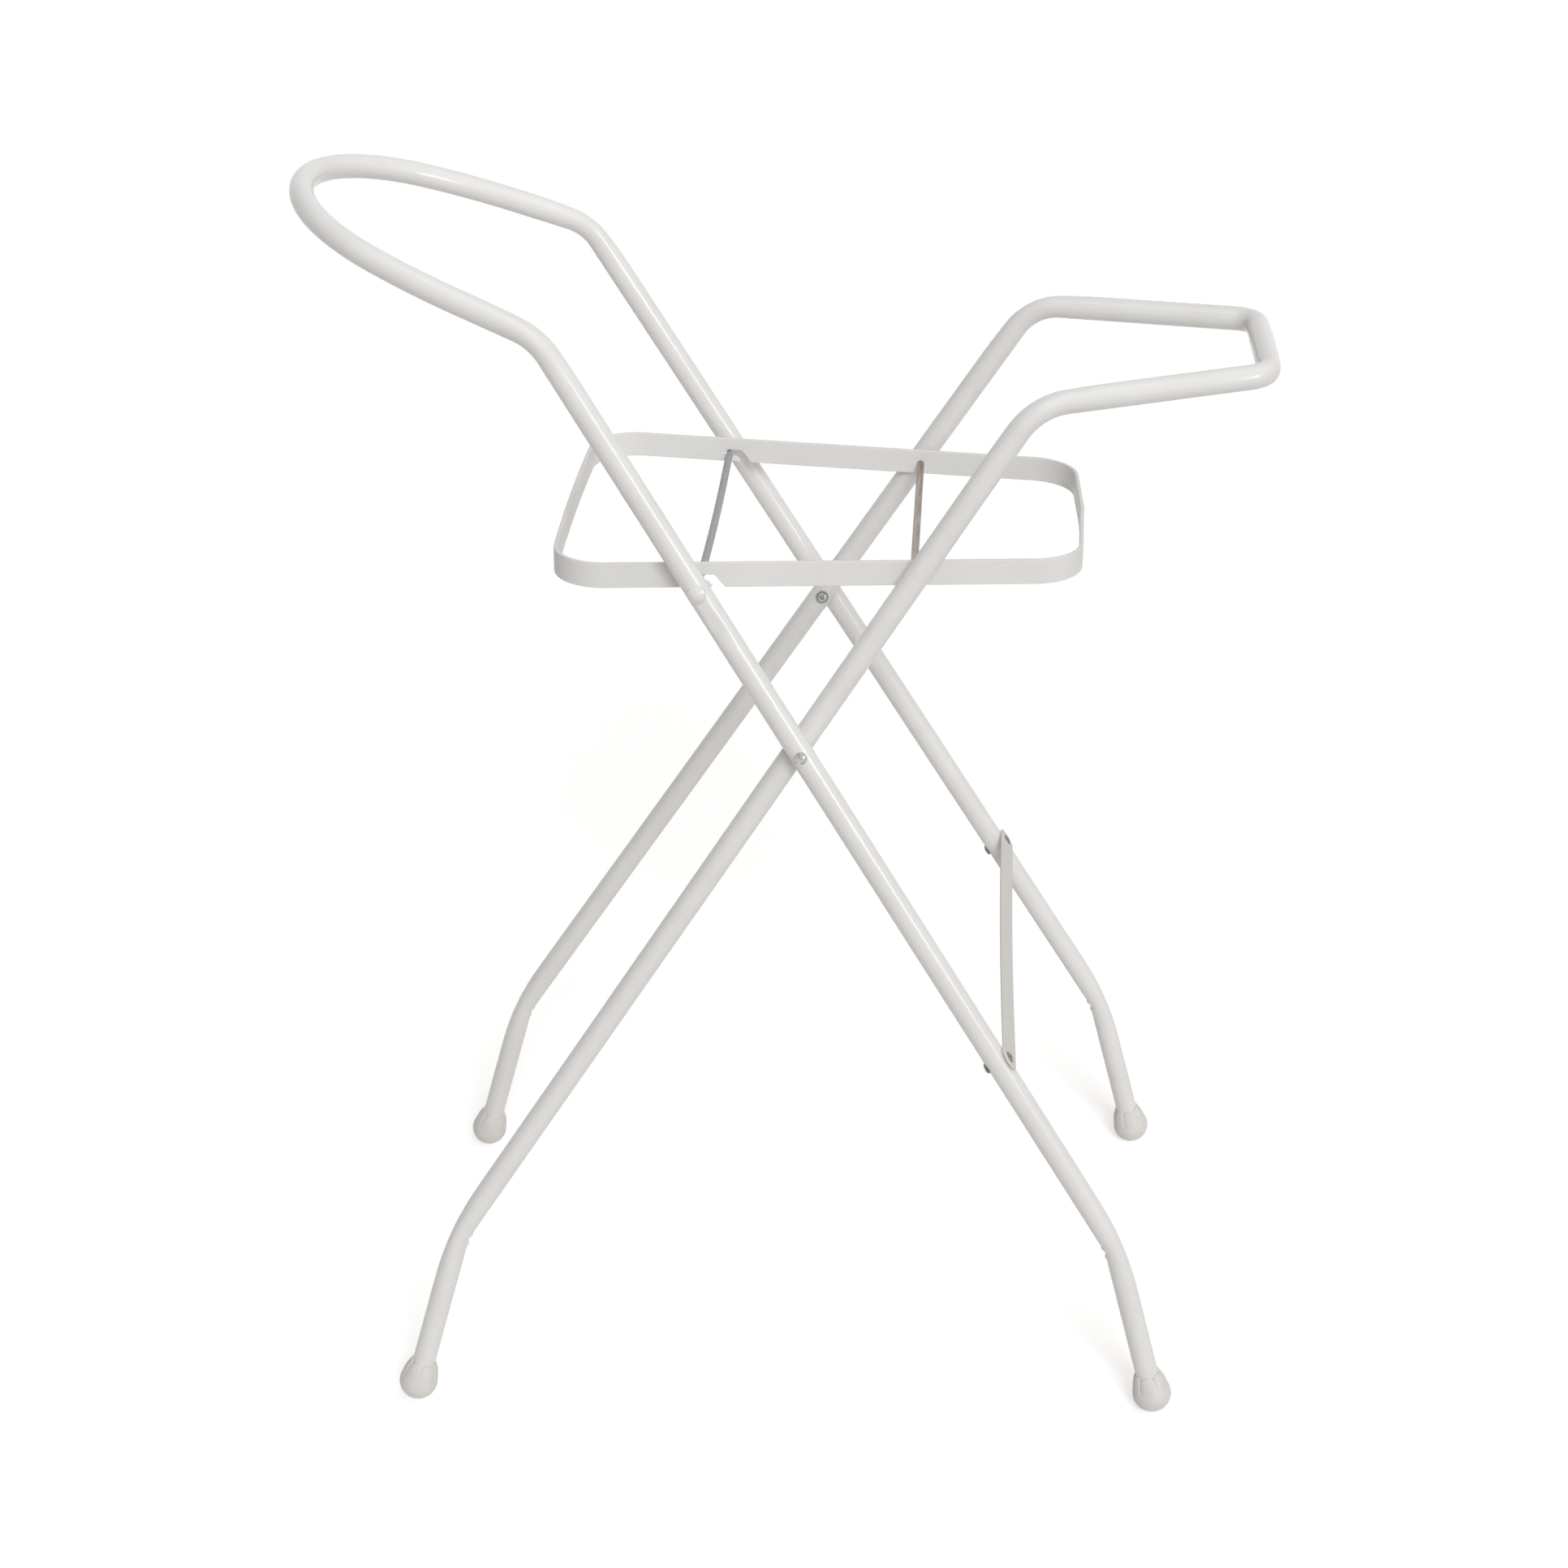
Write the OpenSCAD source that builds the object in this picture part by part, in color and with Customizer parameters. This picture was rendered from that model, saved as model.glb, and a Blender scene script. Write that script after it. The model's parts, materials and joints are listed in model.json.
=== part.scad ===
// Folding baby bath stand: two bent tube frames crossed like an X, and a hooked support ring.
// X runs from the round head (-X) to the square head (+X), Y across the stand, Z up from the floor.

/* [Tube] */
// Outside diameter of both frame tubes
tube_d = 19; // [17:0.5:21]
// Wall of the tubes
tube_wall = 1.2; // [1:0.1:1.8]

/* [Crossing] */
// Height of the pivots over the floor
pivot_height = 587.5; // [560:0.5:610]
// Lean of the outer frame's straight tubes from vertical
outer_lean = 29.35; // [27:0.05:31]
// Lean of the inner frame's straight tubes from vertical
inner_lean = 34.65; // [33:0.05:36]
// Half the distance between the outer tubes' centrelines at the pivots
outer_half = 178; // [172:0.5:190]
// Free gap between an outer and an inner tube at a pivot
pivot_gap = 6; // [5:0.1:8]
// Splay of the outer tubes, wider towards the feet
outer_splay = 2.9; // [2.6:0.05:3.2]
// Splay of the inner tubes, wider towards the feet
inner_splay = 4.05; // [3.9:0.05:4.2]

/* [Legs] */
// Outer frame, pivot to lower bend
outer_below = 497.5; // [480:0.5:510]
// Outer frame, pivot to upper bend
outer_above = 374.5; // [350:0.5:390]
// Inner frame, pivot to lower bend
inner_below = 525; // [505:0.5:535]
// Inner frame, pivot to upper bend
inner_above = 316.5; // [290:0.5:335]
// Lean of the outer frame's feet from vertical
outer_foot_lean = 12.7; // [10:0.1:16]
// Lean of the inner frame's feet from vertical
inner_foot_lean = 17.4; // [15:0.1:20]
// Outward slope of the outer feet
outer_foot_splay = 2.65; // [2:0.05:3.5]
// Outward slope of the inner feet
inner_foot_splay = 4.3; // [3.5:0.05:5]
// Centreline radius of the lower bends
low_bend_r = 95; // [60:1:140]
// Centreline radius of the upper bends
high_bend_r = 46; // [36:1:60]

/* [Round head] */
// Climb of the round head from level
round_slope = 22.4; // [18:0.1:27]
// Length of the round head, upper bend to tip
round_reach = 212; // [195:1:230]
// Narrowing of its sides near the upper bends
round_taper = 11.3; // [9:0.1:13]
// Place of its shoulder, measured from the upper bends
round_shoulder = 99; // [85:1:110]
// Half width of the corners that its tip curve rounds off
round_tip_half = 87; // [75:1:95]

/* [Square head] */
// Climb of the square head from level
square_slope = 0.6; // [0:0.1:4]
// Length of the square head, upper bend to end bar
square_reach = 177; // [160:1:195]
// Half width of the end bar's corner points
square_bar_half = 71; // [60:1:80]
// Centreline radius of the end bar's corners
square_corner_r = 24; // [20:1:30]

/* [Support ring] */
// Height of the ring's flat strip
strip_h = 20; // [18:0.5:22]
// Thickness of the strip
strip_t = 3; // [2.5:0.1:3.5]
// Height of the axle's centre over the strip's lower edge
axle_over_edge = 8.5; // [7.5:0.1:9.5]
// Slope of the ring down towards the square head
ring_tilt = 2.45; // [1.5:0.05:3]
// Axle to the ring's wide end
ring_left = 276; // [255:1:285]
// Axle to the ring's narrow end
ring_right = 128.5; // [115:0.5:140]
// Free gap between the ring and an inner tube at the axle
ring_gap = 4.65; // [4:0.05:8]
// Widening of the ring towards its wide end
ring_taper = 6.05; // [5.5:0.05:6.5]
// Outward bow of the ring's two ends
ring_bulge = 4; // [3:0.5:7]
// Corner radius at the wide end
wide_corner_r = 38; // [30:1:45]
// Corner radius at the narrow end
narrow_corner_r = 40; // [28:1:46]
// Pivot to axle along the inner tubes
axle_up = 153.3; // [148:0.1:158]

/* [Hook] */
// Pivot to locking rod along the outer tubes
rod_up = 151.4; // [150:0.1:153]
// Depth of the flat part of the hook's pocket, past the rod
pocket_run = 10.4; // [9:0.1:12]
// Width of the hook's mouth along the lower edge, past the rod
mouth_run = 19.9; // [19.5:0.1:22]
// Slope of the nib's upper face
nib_slope = 31.5; // [31:0.1:34]
// Height of the nib's blunt nose
nib_nose = 1.2; // [0.6:0.1:1.6]

/* [Rods] */
// Diameter of the ring's axle
axle_d = 6; // [5:0.1:6.5]
// Diameter of the locking rod
rod_d = 4.8; // [4.4:0.1:5]
// Wall of the sleeve on the locking rod
sleeve_wall = 0.6; // [0.4:0.1:0.9]
// Length of the sleeve
sleeve_l = 240; // [200:1:246]
// Sag of the locking rod at its middle
rod_sag = 4; // [2:0.5:8]
// Straight stretch of the locking rod between the ring's strip and its sag
rod_straight = 9; // [6:0.5:14]
// How far the locking rod reaches into its caps
rod_in_cap = 1; // [0.5:0.1:2]
// Diameter of the domed caps on the locking rod
cap_d = 14.4; // [12:0.1:16]
// Rise of the caps over the tube
cap_rise = 3.6; // [3:0.1:5]
// Outside diameter of the axle's bushes
bush_d = 13; // [11:0.5:14]

/* [Pivot rivets] */
// Shank of the pivot rivets
rivet_d = 6; // [5:0.1:6.5]
// Domed head of the pivot rivets
rivet_head_d = 10; // [9:0.1:12]
// Rise of the rivet heads over the tube
rivet_head_rise = 2.8; // [2:0.1:4]
// Outside diameter of the spacers between the frames
spacer_d = 13; // [11:0.5:15]
// Outside diameter of the washers under the rivet tails
washer_d = 10.8; // [10:0.1:12]
// Thickness of those washers
washer_t = 1; // [0.8:0.1:1.5]
// Rolled tail of the pivot rivets, past the washer
tail_rise = 1; // [0.6:0.1:1.6]
// Width of that tail's rolled edge
tail_roll = 1; // [0.6:0.1:1.4]
// Hole in the rolled tails
tail_hole_d = 3; // [2:0.1:3.6]

/* [Leg brace] */
// Pivot to leg brace along the outer tubes
brace_below = 304; // [280:1:340]
// Width of the brace's strap
brace_w = 20; // [16:0.5:21]
// Thickness of the strap
brace_t = 1.5; // [1.2:0.1:2.5]
// Bow of the strap towards the inner side
brace_bow = 3; // [1:0.5:6]
// Half length of the strap's flat ends, either way from a rivet
brace_tab = 9.5; // [8:0.5:12]
// Radius of the shallow arcs that the strap ends in
brace_end_r = 11; // [10.5:0.1:15]
// Shank of the brace rivets
brace_rivet_d = 5; // [4:0.1:6]
// Flanges of the brace rivets
brace_flange_d = 9.4; // [8:0.1:11]
// Thickness of those flanges
brace_flange_t = 1.2; // [0.8:0.1:1.6]
// Hole down the brace rivets
brace_hole_d = 2.5; // [2:0.1:3]

/* [Feet] */
// Ball diameter of the feet
foot_d = 32; // [30:0.5:36]
// Height of the petals' tips over the ball's centre
petal_h = 20; // [18:0.5:24]
// Thickness of the petals at their tips
petal_tip = 1; // [0.8:0.1:1.6]
// Number of petals
petals = 6; // [5:1:8]
// Slits between the petals
petal_slit = 0.8; // [0.5:0.1:1.2]
// Depth of the flat under each foot
foot_flat = 0.5; // [0.3:0.1:1]

/* [Hidden] */
$fn = 48;
// Sides of a swept round section, and least number of steps in a bend
section_fn = 40;
bend_steps = 6;

// Clearances: fixed pieces seat with slip, turning pieces run with play,
// and pieces of different bodies that pass each other keep pass.
slip = 0.02;
play = 0.05;
pass = 0.3;
// A straight run reaches this far into its bends, whose section is drawn in by skin
lap = 0.5;
skin = 0.02;
// Cuts reach this far past the faces that they open
over = 1;

// The two frames, and the side of X that each one's head is on
OUTER = "outer";
INNER = "inner";
function head_side(frame) = frame == OUTER ? -1 : 1;

axle_short = 0.5; // the axle ends this far inside the inner tubes' far wall
shoulder_share = 0.45; // most of the shoulder's run that its bend may take
brace_bend_r = 60; // bends between the strap and its flat ends
slit_from = 0.3; // slits start at this share of the petals' height
scallop_r = 5; // rounding between two petals' tips

tube_r = tube_d / 2;
bore_r = tube_r - tube_wall;
foot_r = foot_d / 2;
foot_z = foot_r - foot_flat;
inner_half = outer_half - tube_d - pivot_gap;
// Half length of the drills through a tube, and depth of a saddle's blank in its tube
drill = tube_d;
saddle = 3;

// ---------- centrelines ----------

// A point of a frame's straight tube on the +Y side, at distance d above the pivot
function tube_point(frame, lean, splay, half, d) =
    [head_side(frame) * sin(lean) * d, half - tan(splay) * d, pivot_height + cos(lean) * d];
function outer_point(d) = tube_point(OUTER, outer_lean, outer_splay, outer_half, d);
function inner_point(d) = tube_point(INNER, inner_lean, inner_splay, inner_half, d);

// The end of a leg below its lower bend, at the centre of the foot's ball
function foot_point(frame, knee, lean, splay) = knee
    + (knee.z - foot_z) / cos(lean) * [-head_side(frame) * sin(lean), tan(splay), -cos(lean)];

// A point of a head at distance u from the upper bend and half width y
function head_point(frame, neck, slope, u, y) =
    [neck.x + head_side(frame) * cos(slope) * u, y, neck.z + sin(slope) * u];

outer_knee = outer_point(-outer_below);
outer_neck = outer_point(outer_above);
outer_foot = foot_point(OUTER, outer_knee, outer_foot_lean, outer_foot_splay);
inner_knee = inner_point(-inner_below);
inner_neck = inner_point(inner_above);
inner_foot = foot_point(INNER, inner_knee, inner_foot_lean, inner_foot_splay);

shoulder = [round_shoulder, outer_neck.y - round_shoulder * tan(round_taper)];
tip = [round_reach, round_tip_half];
tip_turn = 90 - atan2(shoulder.y - tip.y, tip.x - shoulder.x);
tip_r = (round_tip_half - lap) / tan(tip_turn / 2);
shoulder_turn = 90 - tip_turn - round_taper;
shoulder_run = min(norm(tip - shoulder) - round_tip_half, round_shoulder * shoulder_share) - lap;
shoulder_r = shoulder_run / tan(shoulder_turn / 2);

outer_side = [outer_foot, outer_knee, outer_neck,
    head_point(OUTER, outer_neck, round_slope, shoulder.x, shoulder.y),
    head_point(OUTER, outer_neck, round_slope, tip.x, tip.y)];
outer_side_r = [0, low_bend_r, high_bend_r, shoulder_r, tip_r];
inner_side = [inner_foot, inner_knee, inner_neck,
    head_point(INNER, inner_neck, square_slope, square_reach, square_bar_half)];
inner_side_r = [0, low_bend_r, high_bend_r, square_corner_r];

function across(p) = [p.x, -p.y, p.z];
function loop_points(side) = concat(side, [for (i = [len(side) - 1:-1:0]) across(side[i])]);
function loop_radii(r) = concat(r, [for (i = [len(r) - 1:-1:0]) r[i]]);

outer_path = loop_points(outer_side);
outer_radii = loop_radii(outer_side_r);
inner_path = loop_points(inner_side);
inner_radii = loop_radii(inner_side_r);

// The stand is centred on X: half way between the round tip and the square bar
head_reach_outer = outer_neck.x - cos(round_slope) * round_reach - tube_r;
head_reach_inner = inner_neck.x + cos(square_slope) * square_reach + tube_r;
x_shift = -(head_reach_outer + head_reach_inner) / 2;

// ---------- ring, axle and rod places ----------

axle_at = inner_point(axle_up);
rod_at = outer_point(rod_up);
brace_at = outer_point(-brace_below);

// The ring's own axes: origin on the axle, X along the ring, Z square to it
function to_ring(dx, dz) = [dx * cos(ring_tilt) - dz * sin(ring_tilt),
    dx * sin(ring_tilt) + dz * cos(ring_tilt)];
rod_in_ring = to_ring(rod_at.x - axle_at.x, rod_at.z - axle_at.z);

// Half width over the strip, and the strip's centreline corners
function ring_half_at(x) = axle_at.y - tube_r - ring_gap - x * tan(ring_taper);
function strip_half_at(x) = ring_half_at(x) - strip_t / 2;
strip_left = ring_left - strip_t / 2;
strip_right = ring_right - strip_t / 2;
ring_points = [for (p = [[-strip_left, -strip_half_at(-ring_left)],
        [strip_right, -strip_half_at(ring_right)], [strip_right + ring_bulge, 0],
        [strip_right, strip_half_at(ring_right)], [-strip_left, strip_half_at(-ring_left)],
        [-strip_left - ring_bulge, 0]]) [p.x, p.y, strip_h / 2 - axle_over_edge]];
// The bowed ends' arcs stop this share of a corner's radius from the corner point
corner_room = 1.25;
wide_end_run = ring_half_at(-ring_left) - wide_corner_r * corner_room;
narrow_end_run = ring_half_at(ring_right) - narrow_corner_r * corner_room;
function end_bow_r(run, half) = run / tan(atan(ring_bulge / half));
ring_radii = [wide_corner_r, narrow_corner_r,
    end_bow_r(narrow_end_run, ring_half_at(ring_right)),
    narrow_corner_r, wide_corner_r,
    end_bow_r(wide_end_run, ring_half_at(-ring_left))];

rod_r = rod_d / 2;
sleeve_r = rod_r + slip + sleeve_wall;
pocket_r = rod_r + pass;

// A bowed bar's middle arc takes this share of its half length; the straights that it
// rounds off meet at bow_corner, over the bow itself
bow_share = 0.8;
function bow_corner(bow) = bow / (1 - bow_share / 2);
function bow_r(half, corner) = bow_share * half * half / corner;

rod_end = rod_at.y + tube_r + rod_in_cap;
rod_bend_at = ring_half_at(rod_in_ring.x) - strip_t - rod_straight;
rod_drop = bow_corner(rod_sag);
rod_mid_r = bow_r(rod_bend_at, rod_drop);
rod_end_bend_r = 250;

// The inner tubes lean across the pivot's own axis, so a flat face of radius r stands
// this far off them
function face_room(r) = pass + r * tan(inner_splay) + tube_r * (1 / cos(inner_splay) - 1);
washer_face = inner_half - tube_r - face_room(washer_d / 2);

// ---------- helpers ----------

function unit(v) = v / norm(v);
function corner_turn(a, b, c) = acos(min(1, unit(b - a) * unit(c - b)));
function columns(x, y, z, o) =
    [[x.x, y.x, z.x, o.x], [x.y, y.y, z.y, o.y], [x.z, y.z, z.z, o.z], [0, 0, 0, 1]];
function square_to(d) = abs(d.y) > 0.9 ? unit(cross([1, 0, 0], d)) : unit(cross([0, 1, 0], d));

// Draws at both sides of the stand
module both_sides() {
    children();
    mirror([0, 1, 0]) children();
}

module mirrored(on) {
    mirror([0, on ? 1 : 0, 0]) children();
}

// A straight run of the 2D child from a to b; up is the child's Y
module run(a, b, up) {
    d = unit(b - a);
    multmatrix(columns(cross(up, d), up, d, a)) linear_extrude(norm(b - a)) children();
}

// A bend of the 2D child round corner b, on the way from a to c
module bend(a, b, c, r) {
    d = unit(b - a);
    e = unit(c - b);
    turn = corner_turn(a, b, c);
    start = b - d * r * tan(turn / 2);
    centre = b + unit(e - d) * r / cos(turn / 2);
    multmatrix(columns(unit(start - centre), d, unit(cross(d, e)), centre))
        rotate_extrude(angle = turn, $fn = max(48, ceil(360 / turn) * bend_steps))
            translate([r, 0]) children();
}

// Sweeps a section along corner points p with bend radii r: child 0 on the runs and
// child 1, the same section drawn in by skin, on the bends
module sweep(p, r, up = undef, closed = false) {
    n = len(p);
    ends = closed ? n - 1 : n - 2;
    cut = [for (i = [0:n - 1]) !closed && (i == 0 || i == n - 1) ? 0
        : r[i] * tan(corner_turn(p[(i + n - 1) % n], p[i], p[(i + 1) % n]) / 2)];
    for (i = [0:ends]) {
        a = p[i];
        b = p[(i + 1) % n];
        d = unit(b - a);
        run(a + d * (cut[i] > 0 ? cut[i] - lap : 0),
            b - d * (cut[(i + 1) % n] > 0 ? cut[(i + 1) % n] - lap : 0),
            is_undef(up) ? square_to(d) : up) children(0);
    }
    for (i = [0:n - 1])
        if (cut[i] > 0) bend(p[(i + n - 1) % n], p[i], p[(i + 1) % n], r[i]) children(1);
}

module pipe_section(outside, inside, drawn_in = 0) {
    difference() {
        circle(outside - drawn_in, $fn = section_fn);
        circle(inside + drawn_in, $fn = section_fn);
    }
}

module bar_section(w, h, drawn_in = 0) {
    square([w - 2 * drawn_in, h - 2 * drawn_in], center = true);
}

// A pin along Y at place p, from y0 to y1
module pin(p, r, y0, y1) {
    translate([p.x, y0, p.z]) rotate([-90, 0, 0]) cylinder(r = r, h = y1 - y0);
}

// The solid space of a frame's straight tube round point p, for saddles cut to it
module tube_space(frame, lean, splay, p, r, h) {
    d = unit([head_side(frame) * sin(lean), -tan(splay), cos(lean)]);
    multmatrix(columns(unit(cross([0, 1, 0], d)), cross(d, unit(cross([0, 1, 0], d))), d, p))
        translate([0, 0, -h / 2]) cylinder(r = r, h = h);
}

module outer_space(p) {
    tube_space(OUTER, outer_lean, outer_splay, p, tube_r + slip, 2 * tube_d);
}

module inner_space(p) {
    tube_space(INNER, inner_lean, inner_splay, p, tube_r + slip, 2 * tube_d);
}

// A low dome on the outside of an outer tube, seated on it like a saddle
module dome(p, d, rise) {
    face = p.y + tube_r;
    ball = (d * d / 4 + rise * rise) / (2 * rise);
    seat = tube_r - sqrt(tube_r * tube_r - d * d / 4);
    difference() {
        intersection() {
            pin(p, d / 2, face - seat - over, face + rise + over);
            translate([p.x, face + rise - ball, p.z]) sphere(ball);
        }
        outer_space(p);
    }
}

// Axes of the brace: Y across, Z square to the outer tubes towards the outside
module on_brace() {
    translate([brace_at.x, 0, brace_at.z]) rotate([0, 90 - outer_lean, 0]) children();
}

// ---------- the pieces ----------

module outer_frame() {
    color("WhiteSmoke") difference() {
        sweep(outer_path, outer_radii) {
            pipe_section(tube_r, bore_r);
            pipe_section(tube_r, bore_r, skin);
        }
        both_sides() {
            pin(outer_point(0), rivet_d / 2 + slip, outer_half - drill, outer_half + drill);
            pin(rod_at, rod_r + slip, rod_at.y - drill, rod_at.y + drill);
        }
        on_brace() both_sides() translate([0, brace_at.y, -drill])
            cylinder(d = brace_rivet_d + 2 * slip, h = 2 * drill);
    }
}

module inner_frame() {
    color("Gainsboro") difference() {
        sweep(inner_path, inner_radii) {
            pipe_section(tube_r, bore_r);
            pipe_section(tube_r, bore_r, skin);
        }
        both_sides() {
            pin(inner_point(0), rivet_d / 2 + play, inner_half - drill, inner_half + drill);
            pin(axle_at, axle_d / 2 + slip, axle_at.y - drill, axle_at.y);
        }
    }
}

// The hook cut out of the strip's lower edge, round the rod at rest. Its straight sides
// start inside the pocket's circle by skin.
module hook_cut() {
    edge = -axle_over_edge - rod_in_ring.y;
    h = pocket_r - skin;
    mouth = [mouth_run - pocket_run, edge - h];
    out = 1 + over / -mouth.y;
    nose_top = edge + nib_nose;
    nose = (-nose_top - h / cos(nib_slope)) / tan(nib_slope);
    translate(rod_in_ring) {
        circle(pocket_r);
        polygon([[0, h], [pocket_run, h], [pocket_run, h] + mouth * out,
            [nose, edge - over], [nose, nose_top], [-h * sin(nib_slope), -h * cos(nib_slope)]]);
    }
}

module support_ring() {
    color("White") translate([axle_at.x, 0, axle_at.z]) rotate([0, ring_tilt, 0]) difference() {
        sweep(ring_points, ring_radii, up = [0, 0, 1], closed = true) {
            bar_section(strip_t, strip_h);
            bar_section(strip_t, strip_h, skin);
        }
        rotate([90, 0, 0]) {
            linear_extrude(2 * outer_half, center = true) hook_cut();
            cylinder(r = axle_d / 2 + play, h = 2 * outer_half, center = true);
        }
    }
}

module ring_axle() {
    reach = axle_at.y + bore_r - axle_short;
    color("DimGray") pin(axle_at, axle_d / 2, -reach, reach);
}

module axle_bush(back) {
    slant = bush_d / 2 * tan(ring_taper);
    color("White") mirrored(!back) difference() {
        pin(axle_at, bush_d / 2, ring_half_at(0) + slant + pass, axle_at.y - tube_r + saddle);
        pin(axle_at, axle_d / 2 + slip, 0, axle_at.y);
        inner_space(axle_at);
    }
}

module locking_rod() {
    z = rod_at.z;
    x = rod_at.x;
    color("Silver") sweep([[x, -rod_end, z], [x, -rod_bend_at, z], [x, 0, z - rod_drop],
            [x, rod_bend_at, z], [x, rod_end, z]],
        [0, rod_end_bend_r, rod_mid_r, rod_end_bend_r, 0]) {
        circle(rod_r, $fn = section_fn);
        circle(rod_r - skin, $fn = section_fn);
    }
}

module rod_sleeve() {
    half = sleeve_l / 2;
    end_z = rod_at.z - rod_drop * (rod_bend_at - half) / rod_bend_at;
    color("LightSteelBlue") sweep([[rod_at.x, -half, end_z], [rod_at.x, 0, rod_at.z - rod_drop],
            [rod_at.x, half, end_z]], [0, rod_mid_r, 0]) {
        pipe_section(sleeve_r, rod_r + slip);
        pipe_section(sleeve_r, rod_r + slip, skin);
    }
}

module rod_cap(back) {
    color("White") mirrored(!back) difference() {
        dome(rod_at, cap_d, cap_rise);
        pin(rod_at, rod_r + slip, rod_at.y, rod_end);
    }
}

// Domed outside, hollow rolled tail inside
module pivot_rivet(back) {
    p = outer_point(0);
    roll = washer_face - washer_t;
    color("Silver") mirrored(!back) difference() {
        union() {
            dome(p, rivet_head_d, rivet_head_rise);
            pin(p, rivet_d / 2, roll - tail_rise, outer_half + tube_r);
            pin(p, rivet_d / 2 + tail_roll, roll - tail_rise, roll);
        }
        pin(p, tail_hole_d / 2, roll - tail_rise - over, inner_half);
    }
}

module pivot_spacer(back) {
    p = outer_point(0);
    color("White") mirrored(!back) difference() {
        pin(p, spacer_d / 2, inner_half + tube_r + face_room(spacer_d / 2),
            outer_half - tube_r + saddle);
        pin(p, rivet_d / 2 + slip, 0, outer_half);
        outer_space(p);
    }
}

module rivet_washer(back) {
    color("DarkGray") mirrored(!back) difference() {
        pin(outer_point(0), washer_d / 2, washer_face - washer_t, washer_face);
        pin(outer_point(0), rivet_d / 2 + slip, 0, outer_half);
    }
}

module leg_brace() {
    half = brace_at.y;
    seat = tube_r + brace_t / 2;
    bend_at = half - brace_tab;
    end = half + brace_tab;
    drop = bow_corner(brace_bow);
    arc_at = end - brace_end_r;
    color("White") on_brace() difference() {
        intersection() {
            sweep([[0, -end - over, seat], [0, -bend_at, seat], [0, 0, seat - drop],
                    [0, bend_at, seat], [0, end + over, seat]],
                [0, brace_bend_r, bow_r(bend_at, drop), brace_bend_r, 0], up = [1, 0, 0]) {
                bar_section(brace_t, brace_w);
                bar_section(brace_t, brace_w, skin);
            }
            linear_extrude(2 * tube_d) {
                square([brace_w + 2 * over, 2 * arc_at], center = true);
                for (s = [-1, 1]) translate([0, s * arc_at]) circle(brace_end_r);
            }
        }
        both_sides() translate([0, half, 0])
            cylinder(d = brace_rivet_d + 2 * slip, h = 2 * tube_d);
    }
}

// Flat flange under the tube, rolled flange with its hole on the strap
module brace_rivet(back) {
    top = tube_r + brace_t;
    edge_d = brace_flange_d - 2 * brace_flange_t;
    color("Silver") on_brace() mirrored(!back) translate([0, brace_at.y, 0]) difference() {
        union() {
            translate([0, 0, -tube_r]) cylinder(d = brace_rivet_d, h = tube_r + top);
            translate([0, 0, top])
                cylinder(d1 = brace_flange_d, d2 = edge_d, h = brace_flange_t);
            translate([0, 0, -tube_r - brace_flange_t])
                cylinder(d1 = edge_d, d2 = brace_flange_d, h = brace_flange_t);
        }
        cylinder(d = brace_hole_d, h = top + brace_flange_t + over);
    }
}

// Soft ball with petals that grip the tube; the flat stands on the floor
module foot(centre, from, back) {
    d = unit(from - centre);
    grip_r = tube_r + slip;
    color("WhiteSmoke") mirrored(!back) difference() {
        multmatrix(columns(unit(cross([0, 1, 0], d)), cross(d, unit(cross([0, 1, 0], d))),
                d, centre)) difference() {
            union() {
                sphere(foot_r);
                petal_shell();
            }
            cylinder(r = grip_r, h = petal_h + over);
            for (i = [0:petals - 1]) rotate([0, 0, (i + 0.5) * 360 / petals]) {
                translate([bore_r, -petal_slit / 2, petal_h * slit_from])
                    cube([foot_d, petal_slit, petal_h]);
                translate([bore_r, 0, petal_h + over]) rotate([0, 90, 0])
                    cylinder(r = scallop_r, h = foot_d);
            }
        }
        translate([centre.x, centre.y, -foot_d]) cube(2 * foot_d, center = true);
    }
}

// The cone that carries the ball's side up to the petals' tips, tangent to the ball
module petal_shell() {
    tip_at = [tube_r + petal_tip, petal_h];
    lean = atan2(tip_at.y, tip_at.x) - acos(foot_r / norm(tip_at));
    touch = foot_r * [cos(lean), sin(lean)];
    translate([0, 0, touch.y]) cylinder(r1 = touch.x, r2 = tip_at.x, h = petal_h - touch.y);
}

translate([x_shift, 0, 0]) {
    outer_frame();
    inner_frame();
    support_ring();
    ring_axle();
    axle_bush(false);  // axle_bush_front
    axle_bush(true);  // axle_bush_back
    locking_rod();
    rod_sleeve();
    rod_cap(false);  // rod_cap_front
    rod_cap(true);  // rod_cap_back
    pivot_rivet(false);  // pivot_rivet_front
    pivot_rivet(true);  // pivot_rivet_back
    pivot_spacer(false);  // pivot_spacer_front
    pivot_spacer(true);  // pivot_spacer_back
    rivet_washer(false);  // rivet_washer_front
    rivet_washer(true);  // rivet_washer_back
    leg_brace();
    brace_rivet(false);  // brace_rivet_front
    brace_rivet(true);  // brace_rivet_back
    foot(outer_foot, outer_knee, false);  // foot_outer_front
    foot(outer_foot, outer_knee, true);  // foot_outer_back
    foot(inner_foot, inner_knee, false);  // foot_inner_front
    foot(inner_foot, inner_knee, true);  // foot_inner_back
}
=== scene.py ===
"""Looks of a folding baby bath stand, built round its packed CAD frame.

Two powder-coated tube frames cross at riveted pivots, and a flat steel ring turns on an axle in
one of them and hooks over a rod in the other. Sizes are in metres, X runs from the round head to
the square head, Y across the stand and Z up from the floor.
"""

import json
import math
from collections import namedtuple
from types import SimpleNamespace

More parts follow.
